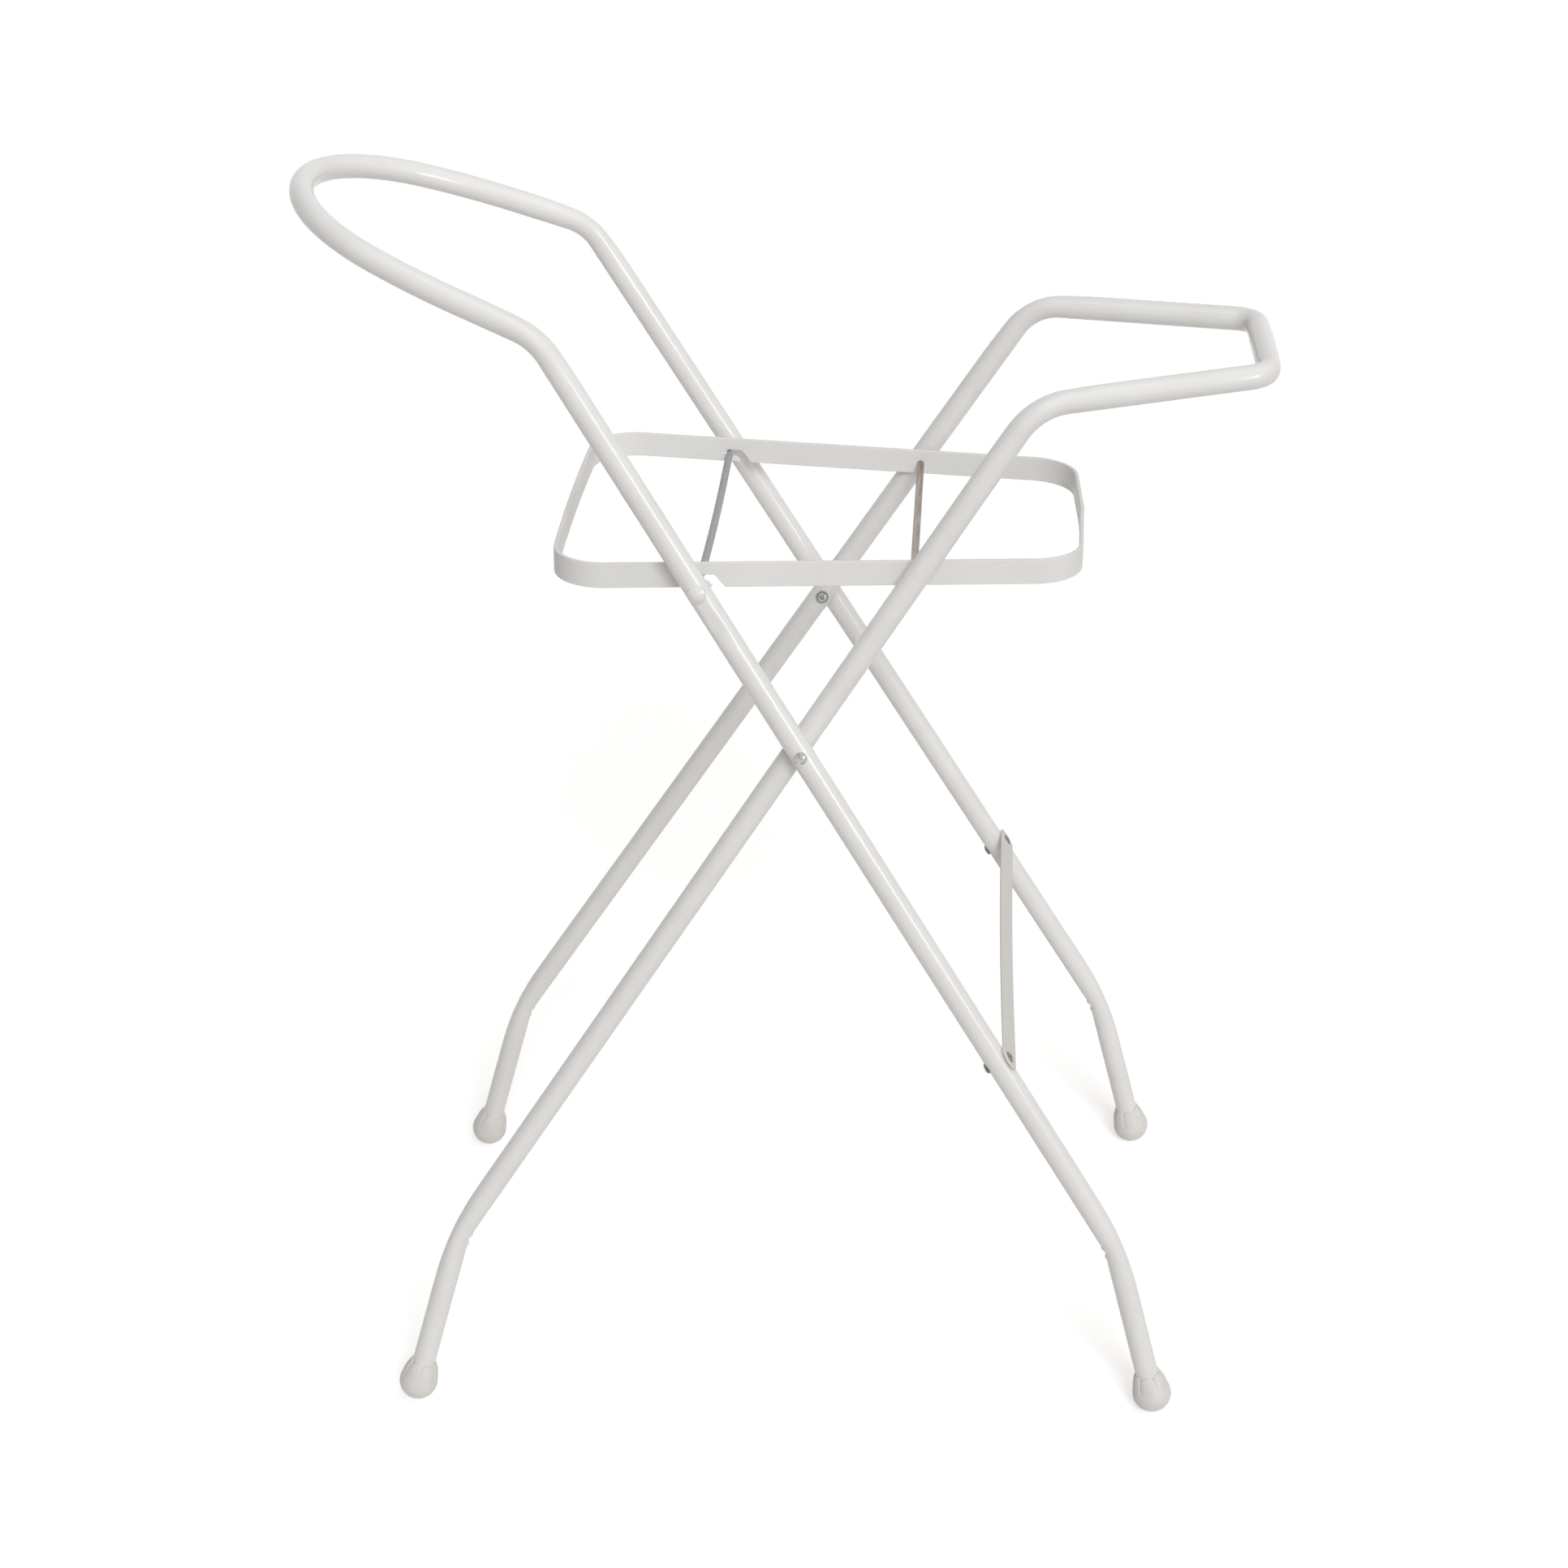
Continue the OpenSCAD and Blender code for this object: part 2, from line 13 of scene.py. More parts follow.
import bmesh
import bpy
import numpy as np
from bpy.props import FloatProperty, FloatVectorProperty, IntProperty, PointerProperty
from mathutils import Matrix, Vector
from mathutils.geometry import delaunay_2d_cdt
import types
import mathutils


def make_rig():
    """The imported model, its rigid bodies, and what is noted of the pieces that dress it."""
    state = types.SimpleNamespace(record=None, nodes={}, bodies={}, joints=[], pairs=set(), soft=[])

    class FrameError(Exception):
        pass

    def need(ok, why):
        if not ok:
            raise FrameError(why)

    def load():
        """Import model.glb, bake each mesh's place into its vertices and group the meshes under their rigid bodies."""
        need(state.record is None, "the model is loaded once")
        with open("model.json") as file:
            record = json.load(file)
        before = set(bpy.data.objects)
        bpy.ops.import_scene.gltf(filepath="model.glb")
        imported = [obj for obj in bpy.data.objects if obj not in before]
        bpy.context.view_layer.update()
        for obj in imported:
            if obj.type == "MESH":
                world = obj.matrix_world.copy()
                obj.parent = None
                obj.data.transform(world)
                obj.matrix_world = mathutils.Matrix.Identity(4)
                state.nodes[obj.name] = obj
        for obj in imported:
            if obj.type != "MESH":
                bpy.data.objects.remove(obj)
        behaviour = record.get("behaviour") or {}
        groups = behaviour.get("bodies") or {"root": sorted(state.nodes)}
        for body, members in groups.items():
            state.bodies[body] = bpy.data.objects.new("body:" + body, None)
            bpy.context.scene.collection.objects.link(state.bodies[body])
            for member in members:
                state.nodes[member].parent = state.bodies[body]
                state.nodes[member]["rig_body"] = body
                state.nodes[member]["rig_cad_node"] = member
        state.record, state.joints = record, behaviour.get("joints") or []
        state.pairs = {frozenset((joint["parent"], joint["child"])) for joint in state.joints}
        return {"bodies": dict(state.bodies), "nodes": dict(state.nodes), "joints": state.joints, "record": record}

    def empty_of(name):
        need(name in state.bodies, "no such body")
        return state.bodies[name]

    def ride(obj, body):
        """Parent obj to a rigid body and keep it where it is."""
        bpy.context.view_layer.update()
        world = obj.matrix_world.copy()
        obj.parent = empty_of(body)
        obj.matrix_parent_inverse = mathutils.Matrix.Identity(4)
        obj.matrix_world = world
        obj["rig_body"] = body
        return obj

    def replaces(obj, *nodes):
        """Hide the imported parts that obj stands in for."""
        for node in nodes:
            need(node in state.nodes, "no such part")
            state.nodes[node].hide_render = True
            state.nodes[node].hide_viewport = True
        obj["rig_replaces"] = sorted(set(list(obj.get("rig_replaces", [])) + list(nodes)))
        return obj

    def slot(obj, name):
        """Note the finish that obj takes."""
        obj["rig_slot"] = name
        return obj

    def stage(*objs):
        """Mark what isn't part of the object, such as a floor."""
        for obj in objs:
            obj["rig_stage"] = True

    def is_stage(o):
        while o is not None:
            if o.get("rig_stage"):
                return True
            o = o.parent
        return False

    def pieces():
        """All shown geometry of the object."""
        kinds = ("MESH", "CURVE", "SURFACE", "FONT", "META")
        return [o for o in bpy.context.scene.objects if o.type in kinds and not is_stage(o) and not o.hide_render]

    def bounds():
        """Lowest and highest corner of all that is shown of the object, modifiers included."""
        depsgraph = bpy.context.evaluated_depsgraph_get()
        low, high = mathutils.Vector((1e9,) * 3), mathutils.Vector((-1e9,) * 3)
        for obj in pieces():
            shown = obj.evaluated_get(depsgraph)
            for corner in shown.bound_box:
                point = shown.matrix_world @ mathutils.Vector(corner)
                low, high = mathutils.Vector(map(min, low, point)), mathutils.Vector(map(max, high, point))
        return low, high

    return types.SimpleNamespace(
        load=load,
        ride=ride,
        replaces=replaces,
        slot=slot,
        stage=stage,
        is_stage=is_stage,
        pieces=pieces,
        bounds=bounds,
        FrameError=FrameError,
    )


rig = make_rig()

bl_info = {
    "name": "Folding baby bath stand",
    "version": (1, 0, 0),
    "blender": (4, 5, 0),
    "location": "3D View > Sidebar > Bath stand",
    "description": "Builds the looks of a folding baby bath stand round its CAD frame",
    "category": "Object",
}

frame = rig.load()
CAD_BOX = [list(corner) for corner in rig.bounds()]

MM = 0.001
OUTER, INNER = -1, 1  # side of X that each frame's head is on
TUBE_SIDES, ROD_SIDES, TURNED_SIDES = 40, 32, 48
STRAIGHT = 1  # a step so long, in metres, that a straight run gets no stations
WORKED = {"flat": 0, "crimp": 0, "girth": 1}  # what a spine may say of its tube, by default

# a place along a tube, rod or strip, which way it runs there, which side its nearest bend
# turns to, how far past that bend's middle it is, and which corner the bend is at
Station = namedtuple("Station", "place way inward off corner", defaults=(0, 0))


# ---------- sizes and colours that a user may change ----------

def linear(hex_colour):
    """A colour written as an sRGB hex value, as the linear one that Blender's sockets take."""
    channels = [int(hex_colour[i:i + 2], 16) / 255 for i in (1, 3, 5)]
    return tuple(c / 12.92 if c <= 0.04045 else ((c + 0.055) / 1.055) ** 2.4
                 for c in channels) + (1,)


WHITE = linear("#FFFFFF")


def length(name, millimetres, about):
    return FloatProperty(name=name, description=about, default=millimetres * MM, min=0,
                         precision=5, subtype="DISTANCE", unit="LENGTH")


def angle(name, degrees, about):
    return FloatProperty(name=name, description=about, default=math.radians(degrees),
                         subtype="ANGLE", unit="ROTATION")


def colour(name, hex_colour, about):
    return FloatVectorProperty(name=name, description=about, default=linear(hex_colour), size=4,
                               min=0, max=1, subtype="COLOR")


class FrameSizes(bpy.types.PropertyGroup):
    """Sizes of the two bent tube frames"""
    tube: length("Tube", 19, "Outside diameter of both frame tubes")
    pivot_height: length("Pivot height", 587.5, "Height of the pivots over the floor")
    outer_half: length("Outer half width", 178, "Middle of the stand to an outer tube")
    pivot_gap: length("Pivot gap", 6, "Free gap between two tubes at a pivot")
    outer_lean: angle("Outer lean", 29.35, "Lean of the outer frame's straight tubes")
    inner_lean: angle("Inner lean", 34.65, "Lean of the inner frame's straight tubes")
    outer_splay: angle("Outer splay", 2.9, "Splay of the outer tubes towards the feet")
    inner_splay: angle("Inner splay", 4.05, "Splay of the inner tubes towards the feet")
    outer_below: length("Outer leg", 497.5, "Outer frame, pivot to lower bend")
    outer_above: length("Outer arm", 374.5, "Outer frame, pivot to upper bend")
    inner_below: length("Inner leg", 525, "Inner frame, pivot to lower bend")
    inner_above: length("Inner arm", 316.5, "Inner frame, pivot to upper bend")
    outer_foot_lean: angle("Outer foot lean", 12.7, "Lean of the outer frame's feet")
    inner_foot_lean: angle("Inner foot lean", 17.4, "Lean of the inner frame's feet")
    outer_foot_splay: angle("Outer foot splay", 2.65, "Outward slope of the outer feet")
    inner_foot_splay: angle("Inner foot splay", 4.3, "Outward slope of the inner feet")
    low_bend: length("Lower bends", 95, "Centreline radius of the lower bends")
    high_bend: length("Upper bends", 46, "Centreline radius of the upper bends")
    round_slope: angle("Round head slope", 22.4, "Climb of the round head from level")
    round_reach: length("Round head reach", 212, "Upper bend to the round head's tip")
    round_taper: angle("Round head taper", 11.3, "Narrowing of the round head's sides")
    round_shoulder: length("Shoulder", 99, "Upper bend to the round head's shoulder")
    round_tip_half: length("Round tip", 87, "Half width of the corners that the tip rounds off")
    square_slope: angle("Square head slope", 0.6, "Climb of the square head from level")
    square_reach: length("Square head reach", 177, "Upper bend to the square head's end bar")
    square_half: length("End bar", 71, "Half width of the end bar's corner points")
    square_corner: length("End bar corners", 24, "Centreline radius of the end bar's corners")
    low_flat: FloatProperty(name="Lower flattening", default=0.24, min=0, max=0.5,
                            description="Share that a lower bend is flattened on its outside")
    high_flat: FloatProperty(name="Upper flattening", default=0.20, min=0, max=0.5,
                             description="Share that an upper bend is flattened on its outside")
    crimp: length("Crimps", 1.15, "Height of the folds inside the lower bends")


class RingSizes(bpy.types.PropertyGroup):
    """Sizes of the support ring, its hook and its axle"""
    strip_h: length("Strip height", 20, "Height of the flat strip")
    strip_t: length("Strip thickness", 3, "Thickness of the strip")
    axle_over_edge: length("Axle over edge", 8.5, "Axle's centre over the strip's lower edge")
    tilt: angle("Tilt", 2.45, "Slope of the ring down towards the square head")
    left: length("Wide side", 276, "Axle to the ring's wide end")
    right: length("Narrow side", 128.5, "Axle to the ring's narrow end")
    gap: length("Ring gap", 4.65, "Free gap between the ring and an inner tube at the axle")
    taper: angle("Taper", 6.05, "Widening of the ring towards its wide end")
    bulge: length("Bulge", 4, "Outward bow of the ring's two ends")
    wide_corner: length("Wide corners", 38, "Corner radius at the wide end")
    narrow_corner: length("Narrow corners", 40, "Corner radius at the narrow end")
    pocket_run: length("Pocket run", 10.4, "Flat top of the hook's pocket, past the rod")
    mouth_run: length("Mouth run", 18.6, "Mouth of the hook along the lower edge, past the rod")
    nib_reach: length("Nib reach", 8.8, "Tip of the hook's rounded nib, past the rod")
    nib_height: length("Nib height", 4.8, "Height of the nib over the strip's lower edge")
    axle_up: length("Axle height", 153.3, "Pivot to axle along the inner tubes")
    axle: length("Axle", 6, "Diameter of the ring's axle")
    axle_hole: length("Axle hole", 7.2, "Diameter of the ring's holes for the axle")
    bush: length("Bushes", 13, "Outside diameter of the axle's bushes")
    edge: length("Edge rounding", 0.6, "Rounding of the strip's coated edges")
    seam: length("Weld seam", 0.35, "Rise of the weld where the strip's two ends meet")


class FixingSizes(bpy.types.PropertyGroup):
    """Sizes of the locking rod, the pivots and the leg brace"""
    rod_up: length("Rod height", 151.4, "Pivot to locking rod along the outer tubes")
    rod: length("Rod", 4.8, "Diameter of the locking rod")
    rod_sag: length("Rod sag", 4, "Sag of the locking rod at its middle")
    rod_straight: length("Straight ends", 9, "Straight stretch inside the ring's strip")
    rod_in_cap: length("Rod in cap", 1, "How far the rod reaches into its caps")
    sleeve: length("Sleeve", 6.04, "Outside diameter of the sleeve on the locking rod")
    sleeve_l: length("Sleeve length", 272, "Length of the sleeve")
    cap: length("Caps", 14.4, "Diameter of the domed caps on the locking rod")
    cap_rise: length("Cap rise", 3.6, "Rise of the caps over the tube")
    cap_dish: length("Cap dish", 1.3, "How deep the tube is flattened round a cap")
    rivet: length("Pivot rivet", 6, "Shank of the pivot rivets")
    head: length("Rivet head", 10, "Diameter of the domed rivet heads")
    head_rise: length("Head rise", 2.8, "Rise of the rivet heads over the tube")
    spacer: length("Spacer", 13, "Outside diameter of the spacers between the frames")
    washer: length("Washer", 10.8, "Outside diameter of the washers under the rivet tails")
    washer_t: length("Washer thickness", 1, "Thickness of those washers")
    tail_rise: length("Tail rise", 1, "Rise of the rolled tails over the washers")
    tail_roll: length("Tail roll", 1, "Width of the tails' rolled edge")
    tail_hole: length("Tail hole", 3, "Hole in the rolled tails")
    brace_below: length("Brace place", 304, "Pivot to leg brace along the outer tubes")
    brace_w: length("Brace width", 20, "Width of the brace's strap")
    brace_t: length("Brace thickness", 1.5, "Thickness of the strap")
    brace_bow: length("Brace bow", 1.5, "Bow of the strap towards the inner side")
    brace_tab: length("Brace ends", 9.5, "Flat ends of the strap, either way from a rivet")
    brace_end: length("Brace end arcs", 12.5, "Radius of the arcs that the strap ends in")
    brace_dish: length("Brace dish", 0.5, "How deep the tube is pressed flat under the strap")
    flange: length("Brace rivets", 9.4, "Diameter of the brace rivets' flanges")
    flange_t: length("Flange thickness", 1.2, "Thickness of those flanges")
    flange_hole: length("Brace rivet hole", 2.5, "Hole down the brace rivets")


class FootSizes(bpy.types.PropertyGroup):
    """Sizes of the soft ball feet"""
    ball: length("Ball", 32, "Diameter of a foot's ball")
    petal_h: length("Petal height", 20, "Petal tips over the ball's centre")
    petal_tip: length("Petal tip", 1, "Thickness of the petals at their tips")
    petals: IntProperty(name="Petals", description="Number of petals", default=6, min=3)
    slit: length("Slits", 0.8, "Width of the slits between the petals")
    valley: length("Valleys", 3, "Depth of the notch between two petals' rounded tips")
    groove: length("Groove", 0.32, "Depth of the closed slits between the petals")
    flat: length("Flat", 0.5, "Depth of the flat under each foot")
    mould_line: length("Mould line", 0.15, "Rise of the line that the mould leaves round the ball")
    crown: length("Crown", 0.7, "How far a petal falls off towards its slits")
    # the feet are pushed on by hand, so each sits at a turn of its own
    outer_front: angle("Outer front turn", 25, "Turn of that foot about its tube")
    outer_back: angle("Outer back turn", -21, "Turn of that foot about its tube")
    inner_front: angle("Inner front turn", 1, "Turn of that foot about its tube")
    inner_back: angle("Inner back turn", 24, "Turn of that foot about its tube")


class Finishes(bpy.types.PropertyGroup):
    """Colours of the stand's finishes"""
    coat: colour("Powder coat", "#EEEDEB", "White coat of tubes, ring and brace")
    coat_thin: colour("Thin coat", "#EAE8E4", "Where the white coat is thinner")
    strap: colour("Strap", "#E4E1DE", "The leg brace's coat, a shade greyer")
    drawn_steel: colour("Drawn steel", "#B3A99F", "Bare steel of the ring's axle")
    drawn_dark: colour("Steel streaks", "#7A7068", "Dull streaks along that steel")
    zinc: colour("Zinc plating", "#C2C1BA", "Bright pivot rivets")
    dull_zinc: colour("Dull zinc", "#8E9396", "Washers under the rivet tails")
    brown_steel: colour("Brown steel", "#978E85", "Brace rivets, dulled by handling")
    rod_zinc: colour("Rod", "#B4B7B9", "Zinc-plated wire of the locking rod")
    sleeve: colour("Sleeve", "#A3A5A8", "Grey sleeve of the locking rod")
    nylon: colour("Nylon", "#ECEBE8", "White bushes and spacers")
    soft_foot: colour("Soft feet", "#E4E2DE", "Off-white feet")
    floor: colour("Floor", "#E5E1DE", "Pale studio floor")


GROUPS = {"stand_frames": FrameSizes, "stand_ring": RingSizes, "stand_fixings": FixingSizes,
          "stand_feet": FootSizes, "stand_finishes": Finishes}


# ---------- where the sizes put things ----------

def unit(v):
    return v.normalized()


def across(p):
    """The same place on the other side of the stand."""
    return Vector((p.x, -p.y, p.z))


def bow(half, rise):
    """The corner height and the bend radius of a bar that bows by rise over half its length."""
    share = 0.8  # the middle arc takes this share of the half length
    corner = rise / (1 - share / 2)
    return corner, share * half * half / corner


def layout():
    """Places in the stand's own axes, worked out from its sizes as the CAD model does."""
    scene = bpy.context.scene
    frames, ring = scene.stand_frames, scene.stand_ring
    fixings, feet = scene.stand_fixings, scene.stand_feet
    stand = SimpleNamespace(frames=frames, ring=ring, fixings=fixings, feet=feet,
                            colours=scene.stand_finishes)
    stand.tube_r = frames.tube / 2
    stand.inner_half = frames.outer_half - frames.tube - frames.pivot_gap
    foot_z = feet.ball / 2 - feet.flat

    def on_tube(side, lean, splay, half, d):
        return Vector((side * math.sin(lean) * d, half - math.tan(splay) * d,
                       frames.pivot_height + math.cos(lean) * d))

    def outer(d):
        return on_tube(OUTER, frames.outer_lean, frames.outer_splay, frames.outer_half, d)

    def inner(d):
        return on_tube(INNER, frames.inner_lean, frames.inner_splay, stand.inner_half, d)

    def foot(side, knee, lean, splay):
        way = Vector((-side * math.sin(lean), math.tan(splay), -math.cos(lean)))
        return knee + way * (knee.z - foot_z) / math.cos(lean)

    def head(side, neck, slope, u, y):
        return Vector((neck.x + side * math.cos(slope) * u, y, neck.z + math.sin(slope) * u))

    outer_knee, outer_neck = outer(-frames.outer_below), outer(frames.outer_above)
    inner_knee, inner_neck = inner(-frames.inner_below), inner(frames.inner_above)
    far_left = outer_neck.x - math.cos(frames.round_slope) * frames.round_reach - stand.tube_r
    far_right = inner_neck.x + math.cos(frames.square_slope) * frames.square_reach + stand.tube_r
    shift = Vector((-(far_left + far_right) / 2, 0, 0))

    lap = 0.5 * MM  # what the CAD model's straights reach into its bends
    shoulder = Vector((frames.round_shoulder,
                       outer_neck.y - frames.round_shoulder * math.tan(frames.round_taper)))
    tip = Vector((frames.round_reach, frames.round_tip_half))
    tip_turn = math.pi / 2 - math.atan2(shoulder.y - tip.y, tip.x - shoulder.x)
    shoulder_turn = math.pi / 2 - tip_turn - frames.round_taper
    shoulder_run = min((tip - shoulder).length - frames.round_tip_half,
                       frames.round_shoulder * 0.45) - lap
    outer_side = [foot(OUTER, outer_knee, frames.outer_foot_lean, frames.outer_foot_splay),
                  outer_knee, outer_neck, head(OUTER, outer_neck, frames.round_slope, *shoulder),
                  head(OUTER, outer_neck, frames.round_slope, *tip)]
    inner_side = [foot(INNER, inner_knee, frames.inner_foot_lean, frames.inner_foot_splay),
                  inner_knee, inner_neck, head(INNER, inner_neck, frames.square_slope,
                                               frames.square_reach, frames.square_half)]
    stand.outer_side = [p + shift for p in outer_side]
    stand.inner_side = [p + shift for p in inner_side]
    stand.outer_bends = [0, frames.low_bend, frames.high_bend,
                         shoulder_run / math.tan(shoulder_turn / 2),
                         (frames.round_tip_half - lap) / math.tan(tip_turn / 2)]
    stand.inner_bends = [0, frames.low_bend, frames.high_bend, frames.square_corner]
    stand.pivot = outer(0) + shift
    stand.rod = outer(fixings.rod_up) + shift
    stand.brace = outer(-fixings.brace_below) + shift
    stand.axle = inner(ring.axle_up) + shift
    stand.outer_way = unit(stand.outer_side[2] - stand.outer_side[1])

    # The ring's own axes: origin on the axle, X along the ring towards its narrow end
    stand.ring_place = (Matrix.Translation((stand.axle.x, 0, stand.axle.z))
                        @ Matrix.Rotation(ring.tilt, 4, "Y"))
    stand.rod_in_ring = stand.ring_place.inverted() @ Vector((stand.rod.x, 0, stand.rod.z))
    stand.ring_half = stand.axle.y - stand.tube_r - ring.gap
    # The brace's own axes: Y across, Z square to the outer tubes towards the outside
    stand.brace_place = (Matrix.Translation((stand.brace.x, 0, stand.brace.z))
                         @ Matrix.Rotation(math.pi / 2 - frames.outer_lean, 4, "Y"))
    return stand


def spine(corners, bends, run_step, bend_step, closed=False, near=()):
    """Stations along corner points with bend radii, as straights and arcs. Near the places in
    near, the stations are closer together."""
    near_step, near_reach = 2 * MM, 22 * MM
    count = len(corners)
    rows, middles = [], []

    def turn_at(i):
        a, b, c = corners[i - 1], corners[i], corners[(i + 1) % count]
        d, e = unit(b - a), unit(c - b)
        return d, e, d.angle(e)

    def cut(i):
        if not closed and i in (0, count - 1):
            return 0
        return bends[i] * math.tan(turn_at(i)[2] / 2)

    for i in range(count):
        if closed or 0 < i < count - 1:
            d, e, turn = turn_at(i)
            start = corners[i] - d * cut(i)
            centre = corners[i] + unit(e - d) * bends[i] / math.cos(turn / 2)
            steps = max(4, math.ceil(bends[i] * turn / bend_step))
            for s in range(steps + 1):
                phi = turn * s / steps
                place = (centre + (start - centre) * math.cos(phi)
                         + d * bends[i] * math.sin(phi))
                way = d * math.cos(phi) + unit(centre - start) * math.sin(phi)
                rows.append((place, way))
            middles.append((len(rows) - 1 - steps / 2, unit(e - d), i))
        if not closed and i == count - 1:
            break
        j = (i + 1) % count
        way = unit(corners[j] - corners[i])
        begin, end = corners[i] + way * cut(i), corners[j] - way * cut(j)
        if not closed and i == 0:
            rows.append((begin, way))
        run, at = (end - begin).length, 0
        while True:
            close = any((begin + way * at - p).length < near_reach for p in near)
            step = near_step if close else run_step
            at += step
            if at > run - 0.6 * step:  # no short step is left before the next bend
                break
            rows.append((begin + way * at, way))
        if not closed and j == count - 1:
            rows.append((end, way))
    run = np.cumsum([0] + [(b[0] - a[0]).length for a, b in zip(rows, rows[1:])])
    middles = [(np.interp(half, range(len(run)), run), inward, corner)
               for half, inward, corner in middles]
    stations = []
    for (place, way), s in zip(rows, run):
        half, inward, corner = min(middles, key=lambda middle: abs(s - middle[0]))
        stations.append(Station(place, way, unit(inward - way * inward.dot(way)), s - half,
                                corner))
    return stations


# ---------- meshes ----------

def add(tree, kind, inputs=None, **settings):
    """Adds a node to a tree, with its settings, and its inputs as values or as links."""
    node = tree.nodes.new(kind)
    for name, value in settings.items():
        setattr(node, name, value)
    for name, value in (inputs or {}).items():
        if isinstance(value, bpy.types.NodeSocket):
            tree.links.new(value, node.inputs[name])
        else:
            node.inputs[name].default_value = value
    return node


def new_tree(name, sockets):
    """A Geometry Nodes tree that takes a mesh and the named sockets, and gives a mesh."""
    if name in bpy.data.node_groups:
        return bpy.data.node_groups[name], None
    tree = bpy.data.node_groups.new(name, "GeometryNodeTree")
    tree.interface.new_socket("Source", in_out="INPUT", socket_type="NodeSocketGeometry")
    for socket, kind in sockets:
        tree.interface.new_socket(socket, in_out="INPUT", socket_type="NodeSocket" + kind)
    tree.interface.new_socket("Finish", in_out="INPUT", socket_type="NodeSocketMaterial")
    tree.interface.new_socket("Mesh", in_out="OUTPUT", socket_type="NodeSocketGeometry")
    return tree, add(tree, "NodeGroupInput").outputs


def close_tree(tree, mesh, given):
    """Ends a tree: instances become mesh, faces turn smooth and take the finish."""
    real = add(tree, "GeometryNodeRealizeInstances", {"Geometry": mesh}).outputs[0]
    smooth = add(tree, "GeometryNodeSetShadeSmooth", {"Geometry": real}).outputs[0]
    coated = add(tree, "GeometryNodeSetMaterial",
                 {"Geometry": smooth, "Material": given["Finish"]}).outputs[0]
    add(tree, "NodeGroupOutput", {"Mesh": coated})
    return tree


def tube_tree():
    """A round tube along a spine. Its named attributes say how a bend has worked the tube:
    inward is the side that it turns to, flat is the share that it is flattened outside,
    crimp is the height of the wrinkles inside, and girth scales the section."""
    tree, given = new_tree("Tube along a spine", [("Radius", "Float"), ("Sides", "Int")])
    if given is None:
        return tree
    kinds = {"inward": "FLOAT_VECTOR", "core": "FLOAT_VECTOR", **dict.fromkeys(WORKED, "FLOAT")}
    read = {name: add(tree, "GeometryNodeInputNamedAttribute", {"Name": name},
                      data_type=kind).outputs["Attribute"] for name, kind in kinds.items()}
    position = add(tree, "GeometryNodeInputPosition").outputs[0]
    cored = add(tree, "GeometryNodeStoreNamedAttribute",
                {"Geometry": given["Source"], "Name": "core", "Value": position},
                data_type="FLOAT_VECTOR", domain="POINT").outputs[0]
    line = add(tree, "GeometryNodeMeshToCurve", {"Mesh": cored}).outputs[0]
    ring = add(tree, "GeometryNodeCurvePrimitiveCircle",
               {"Resolution": given["Sides"], "Radius": given["Radius"]}).outputs[0]
    tube = add(tree, "GeometryNodeCurveToMesh",
               {"Curve": line, "Profile Curve": ring, "Scale": read["girth"],
                "Fill Caps": True}).outputs[0]
    spoke = add(tree, "ShaderNodeVectorMath", {0: position, 1: read["core"]},
                operation="SUBTRACT").outputs[0]
    toward = add(tree, "ShaderNodeVectorMath", {0: spoke, 1: read["inward"]},
                 operation="DOT_PRODUCT").outputs["Value"]
    share = add(tree, "ShaderNodeMath", {0: toward, 1: given["Radius"]},
                operation="DIVIDE").outputs[0]
    # both grow from nothing at the tube's sides, as squares
    outside, inside = (
        add(tree, "ShaderNodeMath", {0: add(tree, "ShaderNodeMath", {0: share, 1: 0.0},
                                            operation=part).outputs[0], 1: 2.0},
            operation="POWER").outputs[0] for part in ("MINIMUM", "MAXIMUM"))
    pressed = add(tree, "ShaderNodeMath", {0: read["flat"], 1: given["Radius"]},
                  operation="MULTIPLY").outputs[0]
    pressed = add(tree, "ShaderNodeMath", {0: pressed, 1: outside},
                  operation="MULTIPLY").outputs[0]
    move = add(tree, "ShaderNodeMath", {0: inside, 1: read["crimp"], 2: pressed},
               operation="MULTIPLY_ADD").outputs[0]
    offset = add(tree, "ShaderNodeVectorMath", {0: read["inward"], "Scale": move},
                 operation="SCALE").outputs[0]
    worked = add(tree, "GeometryNodeSetPosition",
                 {"Geometry": tube, "Offset": offset}).outputs[0]
    return close_tree(tree, worked, given)


def pair_tree():
    """A piece on the +Y side of the stand, and its mirror image on the other side."""
    tree, given = new_tree("Pair across the stand", [])
    if given is None:
        return tree
    there = add(tree, "GeometryNodeTransform",
                {"Geometry": given["Source"], "Scale": (1, -1, 1)}).outputs[0]
    turned = add(tree, "GeometryNodeFlipFaces", {"Mesh": there}).outputs[0]
    join = add(tree, "GeometryNodeJoinGeometry")
    for part in (given["Source"], turned):
        tree.links.new(part, join.inputs[0])
    return close_tree(tree, join.outputs[0], given)


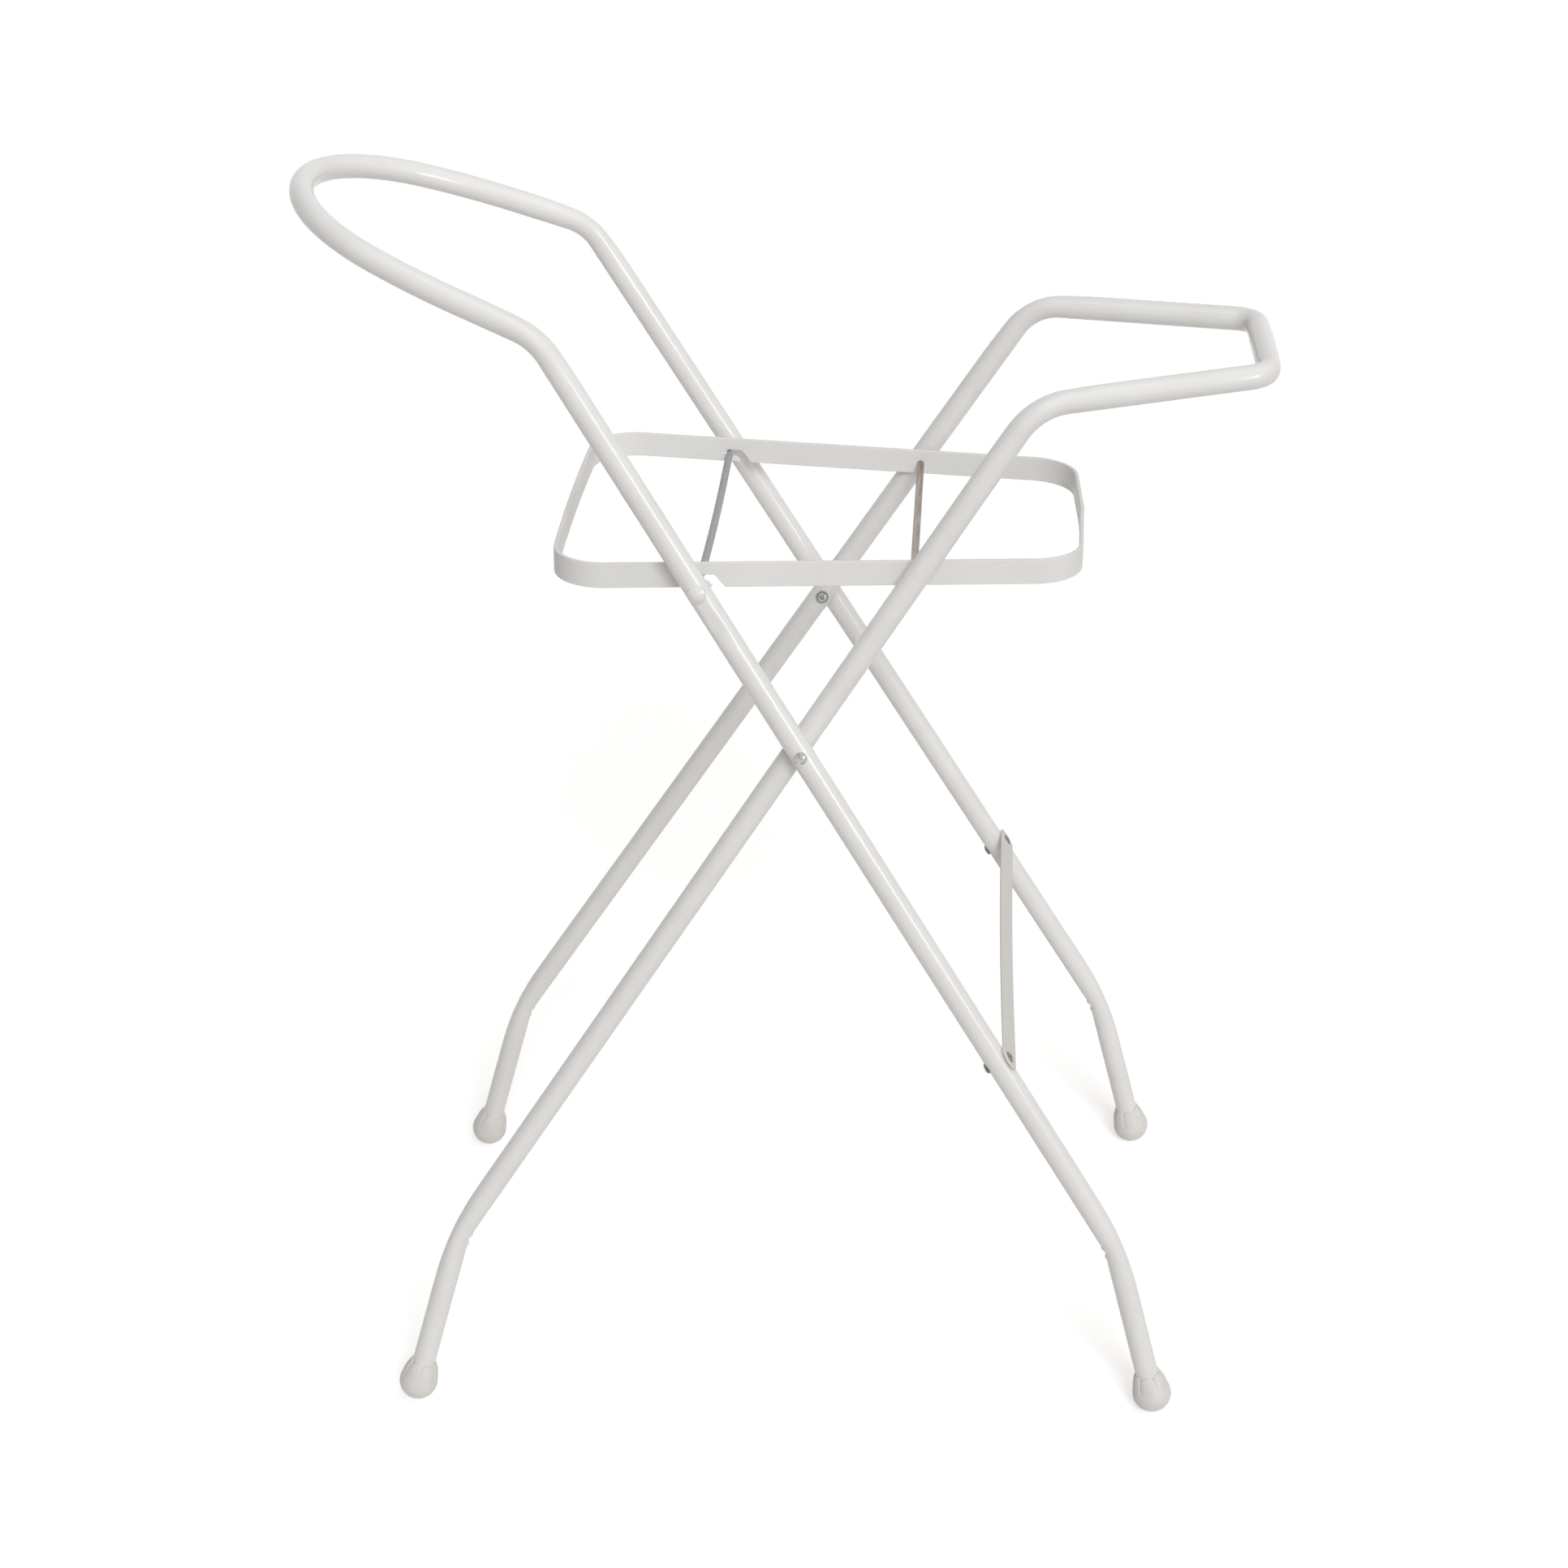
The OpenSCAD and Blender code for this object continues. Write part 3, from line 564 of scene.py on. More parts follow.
def petals_tree():
    """A foot's petal, with its slice of the ball, repeated round the foot's own axis."""
    tree, given = new_tree("Petals round a foot", [("Petals", "Int")])
    if given is None:
        return tree
    points = add(tree, "GeometryNodePoints", {"Count": given["Petals"]}).outputs[0]
    index = add(tree, "GeometryNodeInputIndex").outputs[0]
    step = add(tree, "ShaderNodeMath", {0: math.tau, 1: given["Petals"]},
               operation="DIVIDE").outputs[0]
    turn = add(tree, "ShaderNodeMath", {0: index, 1: step}, operation="MULTIPLY").outputs[0]
    rotation = add(tree, "FunctionNodeAxisAngleToRotation",
                   {"Axis": (0, 0, 1), "Angle": turn}).outputs[0]
    copies = add(tree, "GeometryNodeInstanceOnPoints",
                 {"Points": points, "Instance": given["Source"],
                  "Rotation": rotation}).outputs[0]
    real = add(tree, "GeometryNodeRealizeInstances", {"Geometry": copies}).outputs[0]
    merged = add(tree, "GeometryNodeMergeByDistance",
                 {"Geometry": real, "Distance": 0.002 * MM}).outputs[0]
    return close_tree(tree, merged, given)


def baked(source, finish, tree=None, values=None, modifiers=()):
    """The plain mesh that a tree or a stack of modifiers makes of a source mesh."""
    carrier = bpy.data.objects.new("carrier", source)
    bpy.context.scene.collection.objects.link(carrier)
    if tree:
        modifier = carrier.modifiers.new("Tree", "NODES")
        modifier.node_group = tree
        named = {s.name: s.identifier for s in tree.interface.items_tree
                 if s.item_type == "SOCKET" and s.in_out == "INPUT"}
        for name, value in {**(values or {}), "Finish": finish}.items():
            modifier[named[name]] = value
    for kind, settings in modifiers:
        modifier = carrier.modifiers.new(kind, kind)
        for name, value in settings.items():
            setattr(modifier, name, value)
    depsgraph = bpy.context.evaluated_depsgraph_get()
    made = bpy.data.meshes.new_from_object(carrier.evaluated_get(depsgraph),
                                           depsgraph=depsgraph)
    bpy.data.objects.remove(carrier)
    if not made.vertices:
        raise RuntimeError(f"nothing came out of {source.name}")
    if not made.materials:
        made.materials.append(finish)
    for name in ("inward", "core", *WORKED):
        if name in made.attributes:
            made.attributes.remove(made.attributes[name])
    return made


def outward(mesh, crease=None):
    """Turns the faces of closed shells outwards, and marks edges over an angle as sharp."""
    shape = bmesh.new()
    shape.from_mesh(mesh)
    bmesh.ops.recalc_face_normals(shape, faces=shape.faces)
    shape.to_mesh(mesh)
    shape.free()
    mesh.shade_smooth()
    if crease is not None:
        mesh.set_sharp_from_angle(angle=crease)
    return mesh


def piece(name, mesh, body, nodes, slot):
    """Puts a finished mesh in the scene, riding on its body in place of its CAD nodes."""
    mesh.name = name
    made = bpy.data.objects.new(name, mesh)
    bpy.context.scene.collection.objects.link(made)
    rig.ride(made, body)
    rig.replaces(made, *nodes)
    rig.slot(made, slot)


def pair(name, mesh, finish, crease, body, nodes, slot):
    """Puts in a piece and its mirror image across the stand, with edges over crease sharp."""
    both = outward(baked(mesh, finish, pair_tree()), math.radians(crease))
    piece(name, both, body, nodes, slot)


def joined(meshes, name):
    """Several meshes as one."""
    shape = bmesh.new()
    for mesh in meshes:
        shape.from_mesh(mesh)
    made = bpy.data.meshes.new(name)
    shape.to_mesh(made)
    shape.free()
    for finish in meshes[0].materials:
        made.materials.append(finish)
    return made


def spine_mesh(rows, **worked):
    """A spine's stations as a line of edges with the attributes that the tube tree reads."""
    mesh = bpy.data.meshes.new("spine")
    mesh.from_pydata([row.place for row in rows],
                     [(i, i + 1) for i in range(len(rows) - 1)], [])
    inward = mesh.attributes.new("inward", "FLOAT_VECTOR", "POINT")
    inward.data.foreach_set("vector", np.array([row.inward for row in rows], "f").ravel())
    for name, plain in WORKED.items():
        layer = mesh.attributes.new(name, "FLOAT", "POINT")
        layer.data.foreach_set("value", np.array(worked.get(name, [plain] * len(rows)), "f"))
    return mesh


def turned(profile, place, sides=TURNED_SIDES):
    """A turned piece: (radius, height) pairs from one pole to the other, spun round Z and
    then put in place."""
    rings, faces, points = [], [], []
    for radius, height in profile:
        first = len(points)
        if radius == 0:  # a pole
            points.append((0, 0, height))
            rings.append([first] * sides)
            continue
        for i in range(sides):
            phi = math.tau * i / sides
            points.append((radius * math.cos(phi), radius * math.sin(phi), height))
        rings.append(list(range(first, first + sides)))
    for low, high in zip(rings, rings[1:]):
        for i in range(sides):
            j = (i + 1) % sides
            loop = [low[i], low[j], high[j], high[i]]
            loop = [v for n, v in enumerate(loop) if v != loop[n - 1]]
            if len(loop) > 2:
                faces.append(loop)
    mesh = bpy.data.meshes.new("turned")
    mesh.from_pydata(points, [], faces)
    mesh.transform(place)
    return mesh


def arc(centre_r, centre_z, radius, start, stop, steps=8):
    """Points of a profile's arc, in degrees from the +radius side."""
    return [(centre_r + radius * math.cos(math.radians(start + (stop - start) * i / steps)),
             centre_z + radius * math.sin(math.radians(start + (stop - start) * i / steps)))
            for i in range(steps + 1)]


def dome(radius, rise, foot, fillet):
    """Profile of a low dome over height 0: its side goes down to foot, and a fillet of coat
    softens the edge."""
    ball = (radius * radius + rise * rise) / (2 * rise)
    top = math.degrees(math.asin((radius - fillet) / ball))
    edge = ball * math.cos(math.radians(top)) + rise - ball
    side = [(0, foot), (radius, foot), (radius, edge - fillet)]
    soft = arc(radius - fillet, edge - fillet, fillet, 0, 90 - top, 5)[1:]
    return side + soft + arc(0, rise - ball, ball, 90 - top, 90, 12)[1:-1] + [(0, rise)]


def to_y(place):
    """Puts a turned piece's axis along +Y, with its height 0 at place."""
    return Matrix.Translation(place) @ Matrix.Rotation(-math.pi / 2, 4, "X")


def press_flat(mesh, at, normal, along, depth, reach):
    """Presses a tube flat at a place on its surface, fading out along it."""
    spots = np.zeros(len(mesh.vertices) * 3)
    mesh.vertices.foreach_get("co", spots)
    spots = spots.reshape(-1, 3)
    from_at = spots - np.array(at)
    share = np.clip(1 - np.abs(from_at @ np.array(along)) / reach, 0, 1)
    plane = -depth * share * share * (3 - 2 * share)
    height = from_at @ np.array(normal)
    near = np.linalg.norm(from_at, axis=1) < 2 * reach
    over = np.where(near & (height > plane), height - plane, 0)
    spots -= over[:, None] * np.array(normal)
    mesh.vertices.foreach_set("co", spots.ravel())
    mesh.update()


# ---------- finishes ----------

def surface(name, roughness, inputs):
    """A new material: itself, its tree, its shader and the object's own coordinates."""
    made = bpy.data.materials.new(name)
    made.use_nodes = True
    tree = made.node_tree
    tree.nodes.clear()
    place = add(tree, "ShaderNodeTexCoord").outputs["Object"]
    shader = add(tree, "ShaderNodeBsdfPrincipled", {"Roughness": roughness, **inputs})
    add(tree, "ShaderNodeOutputMaterial", {"Surface": shader.outputs[0]})
    return made, tree, shader, place


def grained(tree, shader, place, size, depth, strength, detail=2.0, drawn=1.0):
    """Roughens a finish with a grain of a size, which drawn spreads along Y where it is under
    1, and gives the grain's noise."""
    spread = add(tree, "ShaderNodeMapping", {"Vector": place, "Scale": (1, drawn, 1)}).outputs[0]
    noise = add(tree, "ShaderNodeTexNoise", {"Vector": spread, "Scale": 1 / size,
                                             "Detail": detail}).outputs[0]
    bump = add(tree, "ShaderNodeBump", {"Height": noise, "Strength": strength,
                                        "Distance": depth}).outputs[0]
    tree.links.new(bump, shader.inputs["Normal"])
    return noise


def shaded(tree, shader, base, noise, low, high, at_low, at_high):
    """Colours a finish: base, scaled from at_low to at_high as noise goes from low to high."""
    shade = add(tree, "ShaderNodeMapRange", {"Value": noise, "From Min": low, "From Max": high,
                                             "To Min": at_low, "To Max": at_high}).outputs[0]
    scaled = add(tree, "ShaderNodeVectorMath", {0: tuple(base)[:3], "Scale": shade},
                 operation="SCALE").outputs[0]
    tree.links.new(scaled, shader.inputs["Base Color"])


def once(make):
    """Keeps a finish after its first use, so that pieces share it."""
    kept = {}

    def finish(colours):
        if "made" not in kept:
            kept["made"] = make(colours)
        return kept["made"]
    finish.__doc__ = make.__doc__
    return finish


def coat(name, thick, thin, roughness, gloss, wave):
    """White polyester powder coat, baked on steel. The coat levels out to a soft gloss with
    a faint orange peel, drawn 3 mm coarse to show at all, over a hand-bent tube's slight waves;
    it is a touch warmer where it is thin."""
    made, tree, shader, place = surface(name, roughness,
                                        {"IOR": 1.5, "Specular IOR Level": gloss})
    cloud = add(tree, "ShaderNodeTexNoise", {"Vector": place, "Scale": 1 / (55 * MM),
                                             "Detail": 3.0, "Roughness": 0.6})
    tint = add(tree, "ShaderNodeMapRange",
               {"Value": cloud.outputs[0], "From Min": 0.42, "From Max": 0.75})
    mix = add(tree, "ShaderNodeMix", {0: tint.outputs[0], 6: thick, 7: thin},
              data_type="RGBA")
    tree.links.new(mix.outputs[2], shader.inputs["Base Color"])
    peel = add(tree, "ShaderNodeTexNoise", {"Vector": place, "Scale": 1 / (3 * MM),
                                            "Detail": 2.0})
    fine = add(tree, "ShaderNodeBump", {"Height": peel.outputs[0], "Strength": 0.25,
                                        "Distance": 0.02 * MM})
    waves = add(tree, "ShaderNodeTexNoise", {"Vector": place, "Scale": 1 / (38 * MM),
                                             "Detail": 1.0})
    broad = add(tree, "ShaderNodeBump", {"Height": waves.outputs[0], "Strength": 1.0,
                                         "Distance": wave, "Normal": fine.outputs[0]})
    tree.links.new(broad.outputs[0], shader.inputs["Normal"])
    return made


@once
def tube_coat(colours):
    """Powder coat on tube: the glossiest."""
    return coat("powder_coat_on_tube", colours.coat, colours.coat_thin, 0.17, 0.5, 0.2 * MM)


@once
def strip_coat(colours):
    """Powder coat on flat strip: rolled steel under it makes it a little duller."""
    return coat("powder_coat_on_strip", colours.coat, colours.coat_thin, 0.45, 0.34,
                0.12 * MM)


@once
def strap_coat(colours):
    """Powder coat on the leg brace: greyer, and duller still."""
    return coat("powder_coat_on_strap", colours.strap, colours.strap, 0.55, 0.25, 0.1 * MM)


@once
def drawn_steel(colours):
    """Cold-drawn steel bar, bare. Drawing leaves long dull streaks along the bar and a
    brownish film, so it shines only softly."""
    made, tree, shader, place = surface("cold_drawn_steel", 0.42, {"Metallic": 1.0})
    streak = grained(tree, shader, place, 0.9 * MM, 0.03 * MM, 0.4, detail=3.0, drawn=0.03)
    dull = add(tree, "ShaderNodeMapRange",
               {"Value": streak, "From Min": 0.4, "From Max": 0.72}).outputs[0]
    mix = add(tree, "ShaderNodeMix", {0: dull, 6: colours.drawn_steel, 7: colours.drawn_dark},
              data_type="RGBA").outputs[2]
    tree.links.new(mix, shader.inputs["Base Color"])
    return made


def pressed_metal(name, base, spread, roughness, size):
    """Upset or stamped steel: the tool's grain breaks up its shine."""
    made, tree, shader, place = surface(name, roughness, {"Metallic": 1.0})
    noise = grained(tree, shader, place, size, 0.05 * MM, 0.5, detail=3.0)
    shaded(tree, shader, base, noise, 0.35, 0.7, 1.0, spread)
    return made


@once
def bright_zinc(colours):
    """Bright zinc plating on the pivot rivets: it mirrors the room in soft patches."""
    return pressed_metal("bright_zinc_plating", colours.zinc, 0.5, 0.12, 4 * MM)


@once
def dull_zinc(colours):
    """Stamped and passivated washer: a cold, dull grey."""
    return pressed_metal("passivated_zinc", colours.dull_zinc, 0.8, 0.5, 0.8 * MM)


@once
def drawn_zinc(colours):
    """Zinc-plated wire of the locking rod: a soft, cold grey shine."""
    return pressed_metal("zinc_plated_wire", colours.rod_zinc, 0.85, 0.38, 1.5 * MM)


@once
def brown_steel(colours):
    """Hollow steel rivet, rolled over and left bare: brownish, with worn bright spots."""
    return pressed_metal("rolled_bare_steel", colours.brown_steel, 0.5, 0.26, 1.1 * MM)


@once
def grey_sleeve(colours):
    """Grey PVC sleeve, extruded and pulled over the rod: satin, with faint draw lines."""
    made, tree, shader, place = surface("extruded_grey_pvc", 0.45, {"IOR": 1.53})
    streak = grained(tree, shader, place, 1.2 * MM, 0.03 * MM, 0.3, drawn=0.05)
    shaded(tree, shader, colours.sleeve, streak, 0.3, 0.7, 0.9, 1.06)
    return made


def moulded(name, base, roughness, gloss, mottle):
    """Moulded plastic: a fine matt skin, slightly cloudy in colour."""
    made, tree, shader, place = surface(name, roughness,
                                        {"IOR": 1.5, "Specular IOR Level": gloss})
    cloud = add(tree, "ShaderNodeTexNoise", {"Vector": place, "Scale": 1 / mottle,
                                             "Detail": 2.0}).outputs[0]
    shaded(tree, shader, base, cloud, 0.3, 0.7, 0.97, 1.02)
    grained(tree, shader, place, 0.8 * MM, 0.02 * MM, 0.3)
    return made


@once
def nylon(colours):
    """Moulded white nylon bushes and spacers: satin and opaque."""
    return moulded("moulded_nylon", colours.nylon, 0.4, 0.5, 6 * MM)


@once
def soft_pvc(colours):
    """Moulded soft PVC feet: off-white, with a satin skin that softens every edge."""
    return moulded("moulded_soft_pvc", colours.soft_foot, 0.42, 0.4, 9 * MM)


def seen(tree):
    """1 for rays that show the background: from the camera, off gloss or through glass."""
    path = add(tree, "ShaderNodeLightPath").outputs
    some = add(tree, "ShaderNodeMath", {0: path["Is Camera Ray"], 1: path["Is Glossy Ray"]},
               operation="MAXIMUM").outputs[0]
    return add(tree, "ShaderNodeMath", {0: some, 1: path["Is Transmission Ray"]},
               operation="MAXIMUM").outputs[0]


def studio_floor(colours):
    """Matt white studio floor: it catches the stand's shadow and otherwise shows as white."""
    made = bpy.data.materials.new("studio_floor")
    made.use_nodes = True
    tree = made.node_tree
    tree.nodes.clear()
    shown = seen(tree)
    paint = add(tree, "ShaderNodeMix", {0: shown, 6: colours.floor, 7: WHITE},
                data_type="RGBA").outputs[2]
    matt = add(tree, "ShaderNodeBsdfDiffuse", {"Color": paint}).outputs[0]
    # where it is seen, a share of white is added; the matt part keeps the shadow
    share = add(tree, "ShaderNodeMath", {0: shown, 1: 0.425}, operation="MULTIPLY").outputs[0]
    glow = add(tree, "ShaderNodeEmission", {"Color": WHITE, "Strength": share}).outputs[0]
    both = add(tree, "ShaderNodeAddShader", {0: matt, 1: glow}).outputs[0]
    add(tree, "ShaderNodeOutputMaterial", {"Surface": both})
    return made


# ---------- the pieces ----------

class BATHSTAND_OT_tubes(bpy.types.Operator):
    """Bends the two frame tubes, with their flattened bends, crimps and dishes"""
    bl_idname = "bathstand.tubes"
    bl_label = "Frame tubes"

    def execute(self, context):
        stand = layout()
        frames = stand.frames
        shoulder_flat, tip_flat, corner_flat = 0.02, 0.06, 0.14  # the wide bends flatten less
        seats = [stand.rod, stand.brace]
        for name, body, side, bends, flats, near in (
                ("outer_tube", "outer_frame", stand.outer_side, stand.outer_bends,
                 (0, frames.low_flat, frames.high_flat, shoulder_flat, tip_flat), seats),
                ("inner_tube", "inner_frame", stand.inner_side, stand.inner_bends,
                 (0, frames.low_flat, frames.high_flat, corner_flat), ())):
            loop = side + [across(p) for p in reversed(side)]
            count = len(loop)
            radii = bends + bends[::-1]
            flat_at = flats + flats[::-1]
            rows = spine(loop, radii, 10 * MM, 1.3 * MM,
                         near=[p for q in near for p in (q, across(q))])
            reach = [8 * MM + 0.5 * radius * self.turn(loop, at)
                     for at, radius in enumerate(radii)]
            flat = [flat_at[row.corner] * math.exp(-(row.off / reach[row.corner]) ** 2)
                    for row in rows]
            crimp = [self.wrinkle(frames.crimp, row.off) if row.corner in (1, count - 2) else 0
                     for row in rows]
            mesh = baked(spine_mesh(rows, flat=flat, crimp=crimp), tube_coat(stand.colours),
                         tube_tree(), {"Radius": stand.tube_r, "Sides": TUBE_SIDES})
            if near:
                self.seat(mesh, stand)
            piece(name, outward(mesh), body, [body], "coated_tube")
        return {"FINISHED"}

    @staticmethod
    def turn(loop, at):
        """How far the tube turns at a corner."""
        if at in (0, len(loop) - 1):
            return 0
        return unit(loop[at] - loop[at - 1]).angle(unit(loop[at + 1] - loop[at]))

    @staticmethod
    def wrinkle(height, off):
        """Height of the crimps on the inside of a lower bend: a narrow fold to each side of
        its middle, over a stretch that the bender pressed flat."""
        fold_at, fold_width, pressed = 4.8 * MM, 1.7 * MM, 7 * MM
        folds = sum(math.exp(-((off - at) / fold_width) ** 2) for at in (-fold_at, fold_at))
        return height * (folds - 0.9 * math.exp(-(off / pressed) ** 2))

    @staticmethod
    def seat(mesh, stand):
        """Dishes the outer tube round the rod's caps and under the brace's ends."""
        out = unit(stand.brace_place.to_3x3() @ Vector((0, 0, 1)))
        cap_reach, brace_reach = 17 * MM, 15 * MM
        for flip in (False, True):
            side = across if flip else Vector
            way = side(stand.outer_way)
            y = side(Vector((0, 1, 0)))
            press_flat(mesh, side(stand.rod) + y * stand.tube_r, y, way,
                       stand.fixings.cap_dish, cap_reach)
            press_flat(mesh, side(stand.brace) + out * stand.tube_r, out, way,
                       stand.fixings.brace_dish, brace_reach)


def rounded(points, radii, steps=5):
    """A 2D outline's points with their corners rounded."""
    done = []
    for i, (p, radius) in enumerate(zip(points, radii)):
        if not radius:
            done.append(p)
            continue
        before, after = Vector(points[i - 1]), Vector(points[(i + 1) % len(points)])
        p = Vector(p)
        d, e = unit(p - before), unit(after - p)
        turn = d.angle(e)
        start = p - d * radius * math.tan(turn / 2)
        centre = p + unit(e - d) * radius / math.cos(turn / 2)
        for s in range(steps + 1):
            phi = turn * s / steps
            spot = (centre + (start - centre) * math.cos(phi) + d * radius * math.sin(phi))
            done.append(tuple(spot))
    return done


def flat_sheet(rows, widths, panels):
    """A strip's middle surface. Stations with their half widths give its quads, and panels
    give its flat stretches: (outline, holes, place), each in its own plane."""
    with_holes = 5  # the triangulation's kind of output: faces inside, and none in the holes
    shape = bmesh.new()
    for i, j in rows:
        loop = [shape.verts.new(p) for p in (*widths[i], *reversed(widths[j]))]
        shape.faces.new(loop)
    for outline, holes, place in panels:
        points, edges = [], []
        for loop in (outline, *holes):
            first = len(points)
            points += [Vector(p) for p in loop]
            edges += [(first + n, first + (n + 1) % len(loop)) for n in range(len(loop))]
        spots, _, faces, *_ = delaunay_2d_cdt(points, edges, [], with_holes, 1e-9)
        made = [shape.verts.new(place @ Vector((p.x, p.y, 0))) for p in spots]
        for loop in faces:
            shape.faces.new([made[n] for n in loop])
    bmesh.ops.remove_doubles(shape, verts=shape.verts, dist=0.001 * MM)
    bmesh.ops.recalc_face_normals(shape, faces=shape.faces)
    bmesh.ops.dissolve_limit(shape, angle_limit=math.radians(0.05), verts=shape.verts,
                             edges=shape.edges)
    mesh = bpy.data.meshes.new("sheet")
    shape.to_mesh(mesh)
    shape.free()
    return mesh


def pressed_strip(sheet, thickness, edge, finish):
    """A strip's middle surface, given its thickness and its rounded, coated edges."""
    mesh = baked(sheet, finish, modifiers=(
        ("SOLIDIFY", {"thickness": thickness, "offset": 0, "use_even_offset": True}),
        ("BEVEL", {"width": edge, "segments": 4, "limit_method": "ANGLE",
                   "angle_limit": math.radians(50), "use_clamp_overlap": False})))
    mesh = outward(mesh)
    return baked(mesh, finish, modifiers=(
        ("WEIGHTED_NORMAL", {"mode": "FACE_AREA", "weight": 100, "keep_sharp": True}),))


class BATHSTAND_OT_ring(bpy.types.Operator):
    """Bends the support ring from flat strip, with its two hooks and its weld seam"""
    bl_idname = "bathstand.ring"
    bl_label = "Support ring"

    def execute(self, context):
        stand = layout()
        ring = stand.ring
        half_h = ring.strip_h / 2
        middle = half_h - ring.axle_over_edge

        def half_at(along):
            return stand.ring_half - along * math.tan(ring.taper)

        left, right = ring.left - ring.strip_t / 2, ring.right - ring.strip_t / 2
        wide, narrow = (half_at(end) - ring.strip_t / 2 for end in (-ring.left, ring.right))
        meet_y, meet_r = 4 * MM, 220 * MM
        corners = [Vector((px, py, middle)) for px, py in (
            (-left, -wide), (right, -narrow), (right + ring.bulge, meet_y), (right, narrow),
            (-left, wide), (-left - ring.bulge, 0))]
        # the wide end is one bow, the narrow end two straights that meet at the weld
        room = half_at(-ring.left) - 1.25 * ring.wide_corner
        radii = [ring.wide_corner, ring.narrow_corner, meet_r, ring.narrow_corner, ring.wide_corner,
                 room / (ring.bulge / half_at(-ring.left))]
        rows = spine(corners, radii, STRAIGHT, 1.6 * MM, closed=True)
        up = Vector((0, 0, half_h))
        widths = [(row.place - up, row.place + up) for row in rows]
        quads, panels = [], []
        for i, row in enumerate(rows):
            j = (i + 1) % len(rows)
            # the long sides run from the first corner to the second and from the fourth to
            # the fifth
            if (row.corner, rows[j].corner) in ((0, 1), (3, 4)):
                panels.append(self.side(stand, row.place, rows[j].place, half_h))
            else:
                quads.append((i, j))
        sheet = flat_sheet(quads, widths, panels)
        mesh = pressed_strip(sheet, ring.strip_t, ring.edge, strip_coat(stand.colours))
        self.weld(mesh, right + ring.bulge, ring)
        mesh.transform(stand.ring_place)
        piece("hook_ring", mesh, "support_ring", ["support_ring"], "coated_strip")
        return {"FINISHED"}

    @staticmethod
    def side(stand, begin, end, half_h):
        """A long side of the ring, flat, with the hook cut round the rod and the axle's hole.
        Its own axes run along the strip and up, from the strip's middle at begin."""
        ring = stand.ring
        run = (end - begin).length
        way = (end - begin) / run
        ahead = 1 if way.x > 0 else -1

        def along(ring_x):
            return (ring_x - begin.x) / way.x

        def up(ring_z):
            return ring_z - begin.z

        top = stand.fixings.rod / 2 + 0.3 * MM
        rod = stand.rod_in_ring
        edge = -ring.axle_over_edge - rod.z
        tip, sole = ring.nib_reach, edge + ring.nib_height
        lead = 9 * MM  # of the strip's own edge, before and after the hook
        # x, z and rounding: from the nib's sole over its rounded finger, round the pocket and
        # to the mouth
        corners = [(tip - lead, edge, 0), (tip, edge, 0.7 * MM), (tip, edge + 1.2 * MM, 1 * MM),
                   (tip - 2.2 * MM, sole - 0.9 * MM, 3 * MM), (tip - 4.8 * MM, sole, 3 * MM),
                   (-3.3 * MM, sole - 0.3 * MM, 0.6 * MM), (-5 * MM, sole + 1 * MM, 0.6 * MM),
                   (-1.9 * MM, top, 1.2 * MM), (ring.pocket_run, top, 0.9 * MM),
                   (ring.mouth_run, edge, 3 * MM), (ring.mouth_run + lead, edge, 0)]
        hook = rounded([c[:2] for c in corners], [c[2] for c in corners])[1:-1]
        hook = [(along(px + rod.x), up(pz + rod.z)) for px, pz in hook]
        if ahead < 0:
            hook.reverse()
        outline = [(0, half_h), (0, -half_h), *hook, (run, -half_h), (run, half_h)]
        hole = [(along(ring.axle_hole / 2 * math.cos(phi)), up(ring.axle_hole / 2 * math.sin(phi)))
                for phi in np.linspace(0, math.tau, 29)[:-1]]
        place = Matrix.Translation(begin) @ Matrix(
            (way, (0, 0, 1), way.cross(Vector((0, 0, 1))))).transposed().to_4x4()
        return outline, [hole], place

    @staticmethod
    def weld(mesh, end, ring):
        """Raises the weld across the narrow end, where the strip's two ends meet."""
        seam_y, seam_half, end_depth = 3 * MM, 2.4 * MM, 30 * MM
        for v in mesh.vertices:
            off = abs(v.co.y - seam_y)
            if off < seam_half and v.co.x > end - end_depth:
                rise = ring.seam * math.cos(off / seam_half * math.pi / 2) ** 2
                v.co.x += rise if v.co.x > end - ring.strip_t / 4 else -rise


